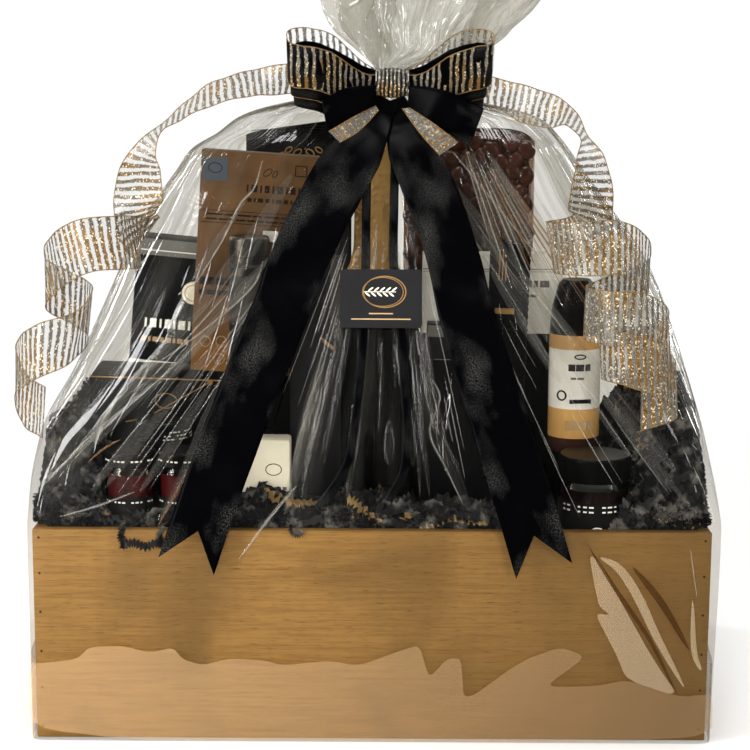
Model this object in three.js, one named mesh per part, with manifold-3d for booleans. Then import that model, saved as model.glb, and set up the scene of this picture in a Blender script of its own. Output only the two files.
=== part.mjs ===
// Wine gift basket: a stained pine crate filled with crinkled black paper shred and standing food
// packs, wrapped in one sheet of clear film that is tied at the neck with a double ribbon bow.
// Millimetres, +Z up. The origin is the middle of the underside, and the front faces -Y.
import * as THREE from 'three';
import { mergeVertices } from 'three/addons/utils/BufferGeometryUtils.js';
import Module from 'manifold-3d';

const wasm = await Module();
wasm.setup();

// Driving dimensions
const GAP = 0.3;
const crate = { width: 480, depth: 300, height: 155, board: 9, floor: 6, base: 0.9 };
const film = { wall: 0.6, perQuarter: 9, neckX: 12.5, neckY: -14, foldEvery: 4, crownRuffle: 9 };
const ribbon = { striped: 38, satin: 41, narrow: 6.35, thickness: 0.7, filmClearance: 4.2 };
const bottle = { radius: 43, height: 312, neckRadius: 14, x: 0, y: 8, foot: 106 };
const shred = { level: 150, leftHeap: 58, rightHeap: 84, strips: 36, stripWidth: 5.5, stripThick: 0.9 };
const bow = { knotX: 12.8, knotY: -44.5, knotZ: 465.5, leftReach: 64, rightReach: 60 };
const tag = { width: 58, height: 42.5, corner: 2.5, thick: 0.8, leansBack: 21 };

// Outline of the wrapped film. Each row is one level: its reach to the left, right, front and back,
// how square it is (60 is a sharp rectangle, 2 an ellipse) and how deep its folds cut inwards.
const wrapRows = [
  { z: 0, left: -243.7, right: 244, front: -153.7, back: 153.7, square: 60, fold: 0 },
  { z: 152, left: -244, right: 247, front: -154, back: 154, square: 60, fold: 0 },
  { z: 168, left: -244, right: 246.5, front: -153.5, back: 153.5, square: 34, fold: 0 },
  { z: 196, left: -243, right: 243, front: -151, back: 150, square: 16, fold: 0 },
  { z: 225, left: -238, right: 239, front: -144.5, back: 146, square: 9, fold: 0 },
  { z: 255, left: -222, right: 232, front: -135, back: 141, square: 6.5, fold: 0 },
  { z: 285, left: -209, right: 224, front: -125, back: 135, square: 5, fold: 0 },
  { z: 316, left: -196, right: 214, front: -113, back: 127, square: 4.2, fold: 0 },
  { z: 345, left: -184.5, right: 200, front: -100, back: 119, square: 3.8, fold: 0 },
  { z: 372, left: -169, right: 180, front: -88, back: 111, square: 3.8, fold: 0 },
  { z: 398, left: -150, right: 160, front: -75, back: 104, square: 4.6, fold: 0 },
  { z: 415, left: -138, right: 148, front: -65, back: 99, square: 4.8, fold: 0 },
  { z: 426, left: -120, right: 140, front: -58, back: 94, square: 4.2, fold: 0 },
  { z: 438, left: -104, right: 127, front: -47, back: 88, square: 3.6, fold: 0 },
  { z: 448, left: -74, right: 92, front: -37, back: 66, square: 3, fold: 0.05 },
  { z: 455, left: -32, right: 52, front: -28, back: 26, square: 2.3, fold: 0.14 },
  { z: 459, left: 1, right: 24, front: -25.5, back: -2.5, square: 2, fold: 0.2 },
  { z: 467, left: 1, right: 24, front: -25.5, back: -2.5, square: 2, fold: 0.2 },
  { z: 476, left: -2, right: 30, front: -26, back: 4, square: 2, fold: 0.26 },
  { z: 490, left: -18, right: 86, front: -30, back: 20, square: 2.2, fold: 0.4 },
  { z: 507, left: -38, right: 112, front: -34, back: 34, square: 2.2, fold: 0.48 },
  { z: 526, left: -46, right: 132, front: -37, back: 47, square: 2.2, fold: 0.5 },
  { z: 576, left: -50, right: 158, front: -41, back: 66, square: 2.2, fold: 0.5 },
];

const group = new THREE.Group();

// Finishes
const finish = (color, roughness, metalness = 0) =>
  new THREE.MeshStandardMaterial({ color, roughness, metalness });
const pine = finish('#a57b45', 0.55);
const shredBlack = finish('#16161a', 0.8);
const clearFilm = new THREE.MeshStandardMaterial({
  color: '#d8d6cf', roughness: 0.08, metalness: 0, transparent: true, opacity: 0.3,
});
const stripedRibbon = finish('#b9a887', 0.45, 0.3);
const satinRibbon = finish('#08080a', 0.35);
const blackCard = finish('#1b1a1c', 0.55);
const blackCarton = finish('#121214', 0.4);
const greyCarton = finish('#3a3a3c', 0.5);
const whiteCarton = finish('#c9c7c0', 0.6);
const brownCarton = finish('#6b4930', 0.5);
const creamPaper = finish('#e4dcc4', 0.7);
const darkGlass = finish('#10140f', 0.08);
const clearGlass = finish('#dfe3e0', 0.05);
const goldFoil = finish('#b08a3c', 0.3, 0.9);
const pewter = finish('#4f4c48', 0.35, 0.9);
const blackLid = finish('#0d0d0e', 0.3);
const redJam = finish('#4a1013', 0.35);
const darkSpread = finish('#2c1714', 0.4);
const blackPlastic = finish('#17171a', 0.35);
const chocolate = finish('#4a2415', 0.35);
const sausageSkin = finish('#5a3a2c', 0.5);

// A closed solid from a flat list of points and triangles.
function solid(points, triangles) {
  const geometry = new THREE.BufferGeometry();
  geometry.setAttribute('position', new THREE.Float32BufferAttribute(points.flat(), 3));
  geometry.setIndex(triangles.flat());
  return geometry;
}

function mix(a, b, t) {
  return a + (b - a) * t;
}

function smooth(t) {
  const c = Math.min(Math.max(t, 0), 1);
  return c * c * (3 - 2 * c);
}

// Seeded random numbers, so that the shred lies the same way each time.
function randomFrom(seed) {
  let state = seed;
  return () => {
    state = (state * 1664525 + 1013904223) % 4294967296;
    return state / 4294967296;
  };
}

// A point of one film level at an angle, on a squared ellipse.
function filmPoint(row, angle, folded) {
  const cx = (row.left + row.right) / 2;
  const cy = (row.front + row.back) / 2;
  const c = Math.cos(angle);
  const s = Math.sin(angle);
  const n = row.square;
  const reach = (Math.abs(c) ** n + Math.abs(s) ** n) ** (-1 / n) * (1 - row.fold * folded);
  const halfWidth = ((row.right - row.left) / 2) * reach;
  const halfDepth = ((row.back - row.front) / 2) * reach;
  return [cx + c * halfWidth, cy + s * halfDepth, row.z];
}

// Where the film's front or side surface is at a place, for what hangs on it.
function filmRowAt(z) {
  const i = Math.max(1, wrapRows.findIndex((row) => row.z >= z));
  const [low, high] = [wrapRows[i - 1], wrapRows[i]];
  const t = (z - low.z) / (high.z - low.z);
  const row = {};
  for (const key of Object.keys(low)) {
    row[key] = mix(low[key], high[key], t);
  }
  return row;
}

function filmFrontY(x, z) {
  const row = filmRowAt(z);
  const halfWidth = (row.right - row.left) / 2;
  const halfDepth = (row.back - row.front) / 2;
  const across = Math.min(Math.abs((x - (row.left + row.right) / 2) / halfWidth), 0.98);
  return (row.front + row.back) / 2 - halfDepth * (1 - across ** row.square) ** (1 / row.square);
}

// The film: an outer skin and an inner skin, closed under the crate, joined at the crown's open rim.
function filmGeometry() {
  const count = film.perQuarter * 4;
  const outer = wrapRows.map((row, level) => {
    const ring = [];
    for (let i = 0; i < count; i += 1) {
      const angle = Math.PI / 4 + (2 * Math.PI * i) / count;
      const folded = 0.5 - 0.5 * Math.cos((2 * Math.PI * i) / film.foldEvery);
      const point = filmPoint(row, angle, folded);
      if (level === wrapRows.length - 1) {
        point[2] += film.crownRuffle * Math.sin(3 * angle) * Math.cos(angle);
      }
      ring.push(new THREE.Vector3(...point));
    }
    return ring;
  });
  const points = [];
  const triangles = [];
  const at = (level, i) => level * count + ((i + count) % count);
  const normalAt = (level, i) => {
    const above = outer[Math.min(level + 1, outer.length - 1)][i];
    const below = outer[Math.max(level - 1, 0)][i];
    const next = outer[level][(i + 1) % count];
    const last = outer[level][(i + count - 1) % count];
    return next.clone().sub(last).cross(above.clone().sub(below)).normalize();
  };
  outer.forEach((ring) => ring.forEach((p) => points.push([p.x, p.y, p.z])));
  const inside = points.length;
  outer.forEach((ring, level) => {
    ring.forEach((p, i) => {
      const q = p.clone().addScaledVector(normalAt(level, i), -film.wall);
      points.push([q.x, q.y, level === 0 ? film.wall : q.z]);
    });
  });
  for (let level = 0; level < outer.length - 1; level += 1) {
    for (let i = 0; i < count; i += 1) {
      const [a, b, c, d] = [at(level, i), at(level, i + 1), at(level + 1, i + 1), at(level + 1, i)];
      triangles.push([a, b, c], [a, c, d]);
      triangles.push([inside + a, inside + c, inside + b], [inside + a, inside + d, inside + c]);
    }
  }
  const top = outer.length - 1;
  for (let i = 0; i < count; i += 1) {
    const [a, b] = [at(top, i), at(top, i + 1)];
    triangles.push([a, b, inside + b], [a, inside + b, inside + a]);
  }
  const under = points.length;
  points.push([0, 0, 0], [0, 0, film.wall]);
  for (let i = 0; i < count; i += 1) {
    const [a, b] = [at(0, i), at(0, i + 1)];
    triangles.push([under, b, a], [under + 1, inside + a, inside + b]);
  }
  return solid(points, triangles);
}

// A ribbon from rows of its two edges. With two cells across, its end can be notched.
function ribbonGeometry(rows, { thickness = ribbon.thickness, cells = 1, notch = 0, tip = 0 } = {}) {
  const mids = rows.map(([a, b]) => a.clone().lerp(b, 0.5));
  const last = rows.length - 1;
  const points = [];
  rows.forEach(([a, b], k) => {
    const along = mids[Math.min(k + 1, last)].clone().sub(mids[Math.max(k - 1, 0)]).normalize();
    const normal = b.clone().sub(a).cross(along).normalize().multiplyScalar(thickness / 2);
    for (let j = 0; j <= cells; j += 1) {
      const reach = k === last ? mix(tip, -notch, Math.sin((Math.PI * j) / cells)) : 0;
      const q = a.clone().lerp(b, j / cells).addScaledVector(along, reach);
      points.push(q.clone().add(normal).toArray(), q.clone().sub(normal).toArray());
    }
  });
  const id = (k, j, side) => (k * (cells + 1) + j) * 2 + side;
  const triangles = [];
  const quad = (a, b, c, d) => triangles.push([a, b, c], [a, c, d]);
  for (let k = 0; k < last; k += 1) {
    for (let j = 0; j < cells; j += 1) {
      quad(id(k, j, 0), id(k, j + 1, 0), id(k + 1, j + 1, 0), id(k + 1, j, 0));
      quad(id(k, j, 1), id(k + 1, j, 1), id(k + 1, j + 1, 1), id(k, j + 1, 1));
    }
    quad(id(k, 0, 1), id(k, 0, 0), id(k + 1, 0, 0), id(k + 1, 0, 1));
    quad(id(k, cells, 0), id(k, cells, 1), id(k + 1, cells, 1), id(k + 1, cells, 0));
  }
  for (let j = 0; j < cells; j += 1) {
    quad(id(0, j, 1), id(0, j + 1, 1), id(0, j + 1, 0), id(0, j, 0));
    quad(id(last, j, 0), id(last, j + 1, 0), id(last, j + 1, 1), id(last, j, 1));
  }
  return outwards(solid(points, triangles));
}

// Turn a closed mesh's faces outwards, if its volume comes out negative.
function outwards(geometry) {
  const p = geometry.getAttribute('position');
  const index = geometry.getIndex();
  const [a, b, c] = [new THREE.Vector3(), new THREE.Vector3(), new THREE.Vector3()];
  let volume = 0;
  for (let i = 0; i < index.count; i += 3) {
    a.fromBufferAttribute(p, index.getX(i));
    b.fromBufferAttribute(p, index.getX(i + 1));
    c.fromBufferAttribute(p, index.getX(i + 2));
    volume += a.dot(b.cross(c));
  }
  if (volume < 0) {
    for (let i = 0; i < index.count; i += 3) {
      const swap = index.getX(i + 1);
      index.setX(i + 1, index.getX(i + 2));
      index.setX(i + 2, swap);
    }
  }
  return geometry;
}

function curveThrough(points) {
  return new THREE.CatmullRomCurve3(points, false, 'centripetal');
}

// Smooth rows through hand-placed edge pairs [ax, ay, az, bx, by, bz].
function edgeRows(pairs, steps) {
  const edge = (offset) =>
    curveThrough(pairs.map((pair) => new THREE.Vector3(...pair.slice(offset, offset + 3))));
  const [edgeA, edgeB] = [edge(0), edge(3)];
  const rows = [];
  for (let k = 0; k <= steps; k += 1) {
    const t = k / steps;
    rows.push([edgeA.getPoint(t), edgeB.getPoint(t)]);
  }
  return rows;
}

// Rows of a tail that lies on the film's front, from its middle line [x, z, width].
function tailRows(line, steps, clearance, wave = 0) {
  const mid = curveThrough(line.map(([x, z]) => new THREE.Vector3(x, 0, z)));
  const widths = line.map(([, , w]) => new THREE.Vector3(w, 0, 0));
  const widthCurve = new THREE.CatmullRomCurve3(widths, false, 'catmullrom');
  const lowest = Math.min(...line.map(([, z]) => z));
  const rows = [];
  for (let k = 0; k <= steps; k += 1) {
    const t = k / steps;
    const p = mid.getPoint(t);
    const along = mid.getTangent(t);
    const across = new THREE.Vector3(-along.z, 0, along.x);
    const half = widthCurve.getPoint(t).x / 2;
    rows.push([-1, 1].map((side) => {
      const q = p.clone().addScaledVector(across, side * half);
      const lift = clearance + wave * (1 - Math.cos(t * 9 + side)) * smooth((q.z - lowest) / 60);
      q.y = filmFrontY(q.x, Math.min(q.z, 440)) - lift;
      return q;
    }));
  }
  return rows;
}

function addMesh(name, geometry, material, place = (mesh) => mesh) {
  const mesh = new THREE.Mesh(geometry, material);
  mesh.name = name;
  place(mesh);
  group.add(mesh);
  return mesh;
}

// A lathe solid from [radius, height] points that start and end on the axis, standing on +Z.
function turned(profile, segments) {
  const geometry = new THREE.LatheGeometry(profile.map(([r, z]) => new THREE.Vector2(r, z)), segments);
  geometry.rotateX(Math.PI / 2);
  return outwards(joined(geometry));
}

// Only positions, with shared vertices merged and empty triangles dropped.
function joined(geometry) {
  const copy = geometry.clone();
  for (const name of Object.keys(copy.attributes)) {
    if (name !== 'position') {
      copy.deleteAttribute(name);
    }
  }
  const merged = mergeVertices(copy, 1e-3);
  const index = merged.getIndex();
  const kept = [];
  for (let i = 0; i < index.count; i += 3) {
    const face = [index.getX(i), index.getX(i + 1), index.getX(i + 2)];
    if (new Set(face).size === 3) {
      kept.push(...face);
    }
  }
  merged.setIndex(kept);
  return merged;
}

// Crate: butt-jointed boards, the long ones nailed over the ends of the short ones.
function addCrate() {
  const { width, depth, height, board, floor, base } = crate;
  const boardHeight = height - base;
  const long = () => new THREE.BoxGeometry(width, board, boardHeight);
  const short = () => new THREE.BoxGeometry(board, depth - 2 * board - 2 * GAP, boardHeight);
  const midZ = base + boardHeight / 2;
  addMesh('crate_front', long(), pine, (m) => m.position.set(0, -(depth - board) / 2, midZ));
  addMesh('crate_back', long(), pine, (m) => m.position.set(0, (depth - board) / 2, midZ));
  addMesh('crate_left', short(), pine, (m) => m.position.set(-(width - board) / 2, 0, midZ));
  addMesh('crate_right', short(), pine, (m) => m.position.set((width - board) / 2, 0, midZ));
  const inner = [width - 2 * board - 2 * GAP, depth - 2 * board - 2 * GAP];
  addMesh('crate_floor', new THREE.BoxGeometry(inner[0], inner[1], floor), pine, (m) =>
    m.position.set(0, 0, base + floor / 2));
}

// What stands in the shred. Each entry gives a geometry that can be grown, for its socket there.
function box(width, depth, height) {
  return (grow = 0) => {
    const geometry = new THREE.BoxGeometry(width + 2 * grow, depth + 2 * grow, height + 2 * grow);
    geometry.translate(0, 0, height / 2);
    return geometry;
  };
}

function round(profile, segments) {
  return (grow = 0) => {
    const middle = (profile[0][1] + profile.at(-1)[1]) / 2;
    const grown = profile.map(([r, z]) => [r > 0 ? r + grow : 0, z + Math.sign(z - middle) * grow]);
    return turned(grown, segments);
  };
}

// A pillow pack: thick in the middle, pinched at its side edges and at its flat top seal.
function pillow(width, thick, height, { lean = 0, round: corner = 0 } = {}) {
  const columns = 8;
  const levels = 7;
  return (grow = 0) => {
    const points = [];
    const halfWidth = width / 2 + grow;
    for (const side of [-1, 1]) {
      for (let j = 0; j <= levels; j += 1) {
        const v = j / levels;
        const topPinch = 1 - smooth((v - 0.55) / 0.45);
        for (let i = 0; i <= columns; i += 1) {
          const u = (2 * i) / columns - 1;
          const belly = (1 - Math.abs(u) ** 3) * topPinch * (0.75 + 0.25 * smooth(v * 4));
          const half = 1.4 + grow + (thick / 2 - 1.4) * belly;
          const drop = corner * Math.abs(u) ** 6 * smooth((v - 0.6) / 0.4) + lean * (1 - u) * v;
          points.push([u * halfWidth, side * half, mix(-grow, height + grow, v) - drop]);
        }
      }
    }
    const wide = columns + 1;
    const side = wide * (levels + 1);
    const id = (s, j, i) => s * side + j * wide + i;
    const triangles = [];
    const quad = (a, b, c, d) => triangles.push([a, b, c], [a, c, d]);
    for (let j = 0; j < levels; j += 1) {
      for (let i = 0; i < columns; i += 1) {
        quad(id(0, j, i), id(0, j, i + 1), id(0, j + 1, i + 1), id(0, j + 1, i));
        quad(id(1, j, i + 1), id(1, j, i), id(1, j + 1, i), id(1, j + 1, i + 1));
      }
      quad(id(1, j, 0), id(0, j, 0), id(0, j + 1, 0), id(1, j + 1, 0));
      quad(id(0, j, columns), id(1, j, columns), id(1, j + 1, columns), id(0, j + 1, columns));
    }
    for (let i = 0; i < columns; i += 1) {
      quad(id(1, 0, i), id(1, 0, i + 1), id(0, 0, i + 1), id(0, 0, i));
      quad(id(0, levels, i), id(0, levels, i + 1), id(1, levels, i + 1), id(1, levels, i));
    }
    return outwards(solid(points, triangles));
  };
}

const degrees = (value) => (value * Math.PI) / 180;

function bottleProfile() {
  const { radius, height, neckRadius } = bottle;
  const profile = [[0, 0], [radius - 6, 0], [radius, 6], [radius, height * 0.5]];
  const shoulder = 6;
  for (let k = 1; k <= shoulder; k += 1) {
    const t = k / shoulder;
    profile.push([mix(radius, neckRadius, smooth(t)), height * mix(0.5, 0.76, t)]);
  }
  profile.push([neckRadius - 0.6, height - 4], [0, height - 4]);
  return profile;
}

// The foil starts on the shoulder and covers the neck and cork, a hair clear of the glass.
function foilProfile() {
  const { radius, height, neckRadius } = bottle;
  const outside = [];
  const inside = [];
  const steps = 4;
  for (let k = 0; k <= steps; k += 1) {
    const t = mix(0.45, 1, k / steps);
    const r = mix(radius, neckRadius, smooth(t));
    const z = height * mix(0.5, 0.76, t);
    outside.push([r + 1.7, z + 0.8]);
    inside.push([r + 0.6, z + 0.5]);
  }
  outside.push([neckRadius + 1.2, height * 0.84], [neckRadius + 2.2, height * 0.86]);
  outside.push([neckRadius + 1.6, height], [neckRadius - 2, height + 2.4], [0, height + 3]);
  inside.push([neckRadius + 0.3, height - 3.4]);
  return [[0, height - 3.4], ...inside.reverse(), ...outside];
}

const tinProfile = (r, h) =>
  [[0, 0], [r - 3, 0], [r, 3], [r, h - 5], [r - 2.6, h - 1], [r - 2.6, h], [0, h]];

// A jar as three pieces: the glass with its hollow, what fills it, and the lid over the rim.
function jar(name, { r, glass, lid, x, y, z, filling }) {
  const wall = 1.8;
  const hollow = [
    [0, 0], [r - 2, 0], [r, 2], [r, glass - 6], [r - 2.4, glass], [r - 2.4 - wall, glass],
    [r - wall, glass - 7], [r - wall, 4], [r - wall - 2, 2.4], [0, 2.4],
  ];
  const content = [
    [0, 2.7], [r - wall - 2.6, 2.7], [r - wall - GAP, 4.6], [r - wall - GAP, glass - 7.4],
    [r - wall - 1.4, glass - 9], [0, glass - 9],
  ];
  const cap = [
    [0, glass + GAP], [r - 1.6, glass + GAP], [r - 1.6, glass - 1.4], [r + 0.7, glass - 1.4],
    [r + 0.7, glass + lid - 2], [r - 1, glass + lid], [0, glass + lid],
  ];
  const place = (m) => m.position.set(x, y, z);
  addMesh(`${name}_glass`, turned(hollow, 14), clearGlass, place);
  addMesh(`${name}_filling`, turned(content, 14), filling, place);
  addMesh(`${name}_lid`, turned(cap, 14), blackLid, place);
  const hull = [[0, 0], [r + 1.2, 0], [r + 1.2, glass + lid], [0, glass + lid]];
  sockets.push({ shape: round(hull, 14), place });
}

const sockets = [];

function stand(name, shape, material, x, y, z, turn = [0, 0, 0]) {
  const place = (m) => {
    m.position.set(x, y, z);
    m.rotation.set(degrees(turn[0]), degrees(turn[1]), degrees(turn[2]));
  };
  addMesh(name, shape(), material, place);
  sockets.push({ shape, place });
}

function addContents() {
  const bottlePlace = (m) => m.position.set(bottle.x, bottle.y, bottle.foot);
  addMesh('wine_bottle', turned(bottleProfile(), 22), darkGlass, bottlePlace);
  addMesh('bottle_foil', turned(foilProfile(), 18), goldFoil, bottlePlace);
  addMesh('bottle_bag', bottleBag(), clearFilm, bottlePlace);
  const bagHull = [[0, -1.6], [54, -1.6], [54, 60], [48, 190], [0, 190]];
  sockets.push({ shape: round(bagHull, 20), place: bottlePlace });

  stand('gift_box_low', box(158, 66, 112), blackCarton, -138, -9, 132.5, [0, 1.6, 0]);
  stand('chocolate_carton', box(88, 19, 166), brownCarton, -94.5, -26.5, 247.6, [0, 3.6, 0]);
  stand('cracker_carton', box(84, 42, 94), blackCarton, -146, 9, 250.6, [0, 5.2, 0]);
  stand('dark_carton_left', box(38, 18, 180), greyCarton, -43, -54, 159);
  stand('dark_carton_right', box(54, 18, 142), greyCarton, 62, -60, 148, [0, 2, 0]);
  stand('white_carton', box(105, 17, 60), whiteCarton, 89, -38, 280.6);
  stand('black_box_right', box(66, 54, 138), blackCarton, 117, -16, 142);
  stand('wafer_bar', box(30, 9, 176), blackPlastic, 95, -78, 176, [0, 1.5, 0]);
  stand('truffle_pouch', pillow(84, 24, 236, { lean: 6, round: 2 }), blackPlastic, -60, 68, 200);
  stand('chocolate_bag', pillow(104, 28, 248, { round: 10 }), chocolate, 76, 72, 180);
  stand('cheese_pack', box(40, 22, 62), creamPaper, -79.5, -99.5, 150);
  stand('salami_stick', round([[0, 0], [12, 0], [19, 7], [19, 116], [14, 127], [0, 130]], 18),
    sausageSkin, 149, -66.5, 194.5);

  const canister = [
    ['base', blackPlastic, [[0, 0], [14, 0], [15, 1.5], [15, 78], [0, 78]]],
    ['body', clearGlass, [[0, 78.3], [14.6, 78.3], [14.6, 121.5], [0, 121.5]]],
    ['lid', pewter, [[0, 121.8], [15, 121.8], [15, 139], [13.6, 141], [0, 141]]],
  ];
  for (const [part, material, profile] of canister) {
    addMesh(`canister_${part}`, turned(profile, 16), material, (m) => m.position.set(-91, -69, 214));
  }
  stand('canister_stand_box', box(32, 28, 64), blackCarton, -91, -69, 149.4);

  const jam = { r: 18.2, glass: 54, lid: 9, y: -108, z: 141, filling: redJam };
  jar('jam_jar_left', { ...jam, x: -175 });
  jar('jam_jar_right', { ...jam, x: -137 });
  jar('spread_jar', { r: 25.5, glass: 52, lid: 16, x: 160, y: -113.5, z: 136, filling: darkSpread });
  stand('black_tin', round(tinProfile(21, 74), 16), blackLid, -156, -66, 145);
}

// The clear bag round the bottle: an open sleeve that flares into folds at its foot.
function bottleBag() {
  const wall = 0.5;
  const levels = [[0, 51.5, 0.05], [26, 50, 0.05], [60, 48, 0.02], [176, 45.6, 0.01]];
  const count = 28;
  const points = [];
  for (const skin of [0, wall]) {
    for (const [z, radius, fold] of levels) {
      for (let i = 0; i < count; i += 1) {
        const angle = (2 * Math.PI * i) / count;
        const r = radius * (1 - fold * (0.5 - 0.5 * Math.cos((2 * Math.PI * i) / 4))) - skin;
        points.push([r * Math.cos(angle), r * Math.sin(angle), z]);
      }
    }
  }
  const id = (skin, level, i) => (skin * levels.length + level) * count + (i % count);
  const triangles = [];
  const quad = (a, b, c, d) => triangles.push([a, b, c], [a, c, d]);
  const top = levels.length - 1;
  for (let i = 0; i < count; i += 1) {
    for (let level = 0; level < top; level += 1) {
      quad(id(0, level, i), id(0, level, i + 1), id(0, level + 1, i + 1), id(0, level + 1, i));
      quad(id(1, level, i + 1), id(1, level, i), id(1, level + 1, i), id(1, level + 1, i + 1));
    }
    quad(id(0, top, i), id(0, top, i + 1), id(1, top, i + 1), id(1, top, i));
    quad(id(0, 0, i + 1), id(0, 0, i), id(1, 0, i), id(1, 0, i + 1));
  }
  return outwards(solid(points, triangles));
}

function toManifold(geometry, matrix) {
  const merged = joined(geometry);
  merged.applyMatrix4(matrix);
  return new wasm.Manifold(new wasm.Mesh({
    numProp: 3,
    vertProperties: Float32Array.from(merged.getAttribute('position').array),
    triVerts: Uint32Array.from(merged.getIndex().array),
  }));
}

function fromManifold(piece) {
  const mesh = piece.getMesh();
  const geometry = new THREE.BufferGeometry();
  geometry.setAttribute('position', new THREE.BufferAttribute(mesh.vertProperties, 3));
  geometry.setIndex(new THREE.BufferAttribute(mesh.triVerts, 1));
  return geometry;
}

// Height of the shred over the crate: heaped at the ends and uneven all over.
function shredHeight(x, y) {
  const left = shred.leftHeap * smooth((-x - 150) / 78) * smooth((235 + x) / 12 + 0.55);
  const right = shred.rightHeap * smooth((x - 158) / 62) * smooth((235 - x) / 14 + 0.5);
  const edge = 1 - 0.5 * smooth((Math.abs(y) - 85) / 55);
  const bumps = 4.5 * Math.sin(x / 11) * Math.cos(y / 9) + 3.5 * Math.sin((x + 2 * y) / 17);
  return shred.level + (left + right) * edge + bumps;
}

function shredCore() {
  const halfX = crate.width / 2 - crate.board - GAP;
  const halfY = crate.depth / 2 - crate.board - GAP;
  const bottom = crate.base + crate.floor + GAP;
  const [nx, ny] = [22, 12];
  const points = [];
  const id = (i, j) => j * (nx + 1) + i;
  for (let j = 0; j <= ny; j += 1) {
    for (let i = 0; i <= nx; i += 1) {
      const x = mix(-halfX, halfX, i / nx);
      const y = mix(-halfY, halfY, j / ny);
      points.push([x, y, shredHeight(x, y)]);
    }
  }
  const along = Array.from({ length: nx }, (_, i) => i);
  const across = Array.from({ length: ny }, (_, j) => j);
  const rim = [
    ...along.map((i) => id(i, 0)),
    ...across.map((j) => id(nx, j)),
    ...along.map((i) => id(nx - i, ny)),
    ...across.map((j) => id(0, ny - j)),
  ];
  const low = points.length;
  rim.forEach((top) => points.push([points[top][0], points[top][1], bottom]));
  const middle = points.length;
  points.push([0, 0, bottom]);
  const triangles = [];
  for (let j = 0; j < ny; j += 1) {
    for (let i = 0; i < nx; i += 1) {
      const [a, b, c, d] = [id(i, j), id(i + 1, j), id(i + 1, j + 1), id(i, j + 1)];
      triangles.push([a, b, c], [a, c, d]);
    }
  }
  rim.forEach((top, k) => {
    const next = (k + 1) % rim.length;
    triangles.push([low + k, low + next, rim[next]], [low + k, rim[next], top]);
    triangles.push([middle, low + next, low + k]);
  });
  return solid(points, triangles);
}

// One crinkled strip of paper: a zig-zag band that rises and falls along its length.
function crinkleStrip(folds, pitch, rise) {
  const rows = [];
  for (let k = 0; k <= folds; k += 1) {
    const x = (k - folds / 2) * pitch;
    const z = (k % 2 ? rise : -rise) + 2.5 * Math.sin(k * 0.9);
    rows.push([-1, 1].map((end) => new THREE.Vector3(x, (end * shred.stripWidth) / 2, z)));
  }
  return ribbonGeometry(rows, { thickness: shred.stripThick });
}

function addShred() {
  let heap = toManifold(shredCore(), new THREE.Matrix4());
  const random = randomFrom(1973);
  const halfX = crate.width / 2 - crate.board - 8;
  const halfY = crate.depth / 2 - crate.board - 8;
  const dummy = new THREE.Object3D();
  for (let k = 0; k < shred.strips; k += 1) {
    const reach = 20;
    const x = mix(-halfX + reach, halfX - reach, (k + random()) / shred.strips);
    const y = mix(-halfY + reach, halfY - reach, random() ** 1.6);
    dummy.position.set(x, y, shredHeight(x, y) + 1.6);
    dummy.rotation.set((random() - 0.5) * 0.9, (random() - 0.5) * 0.5, random() * Math.PI);
    dummy.updateMatrix();
    heap = heap.add(toManifold(crinkleStrip(5, 6.2, 2.4), dummy.matrix));
  }
  for (const { shape, place } of sockets) {
    const holder = new THREE.Object3D();
    place(holder);
    holder.updateMatrix();
    heap = heap.subtract(toManifold(shape(0.45), holder.matrix));
  }
  const parts = heap.decompose().sort((a, b) => b.volume() - a.volume());
  addMesh('paper_shred', joined(fromManifold(parts[0])), shredBlack);
}

// One bow loop. It leaves the knot in front, turns at its outer end and comes back behind.
function loopRows({ startX, reach, layer, side }) {
  const lean = new THREE.Vector3(0, -0.6, 0.8);
  const depthAxis = new THREE.Vector3(0, 0.8, 0.6);
  const nest = 1.5 * layer;
  const out = reach - 2.4 * layer;
  const line = [
    [0, nest], [0.3, nest - 6], [0.68, nest - 8], [0.95, nest - 4], [1, 3.4], [0.94, 12 - nest],
    [0.66, 14 - nest], [0.3, 11.5 - nest], [0, 7.4 - nest],
  ];
  const curve = curveThrough(line.map(([s, d]) => new THREE.Vector3(s * out, d, 0)));
  const steps = 15;
  const rows = [];
  for (let k = 0; k <= steps; k += 1) {
    const p = curve.getPoint(k / steps);
    const grown = smooth(p.x / 34);
    const width = mix(11, ribbon.striped, grown);
    const middle = new THREE.Vector3(startX + side * p.x, bow.knotY - 2.5, bow.knotZ + 1.5);
    middle.y -= 23 * smooth(p.x / 45);
    middle.z += 14 * smooth(p.x / 50);
    middle.addScaledVector(depthAxis, p.y).addScaledVector(lean, -11 * layer * grown);
    rows.push([-1, 1].map((end) => middle.clone().addScaledVector(lean, (end * width) / 2)));
  }
  return rows;
}

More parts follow.
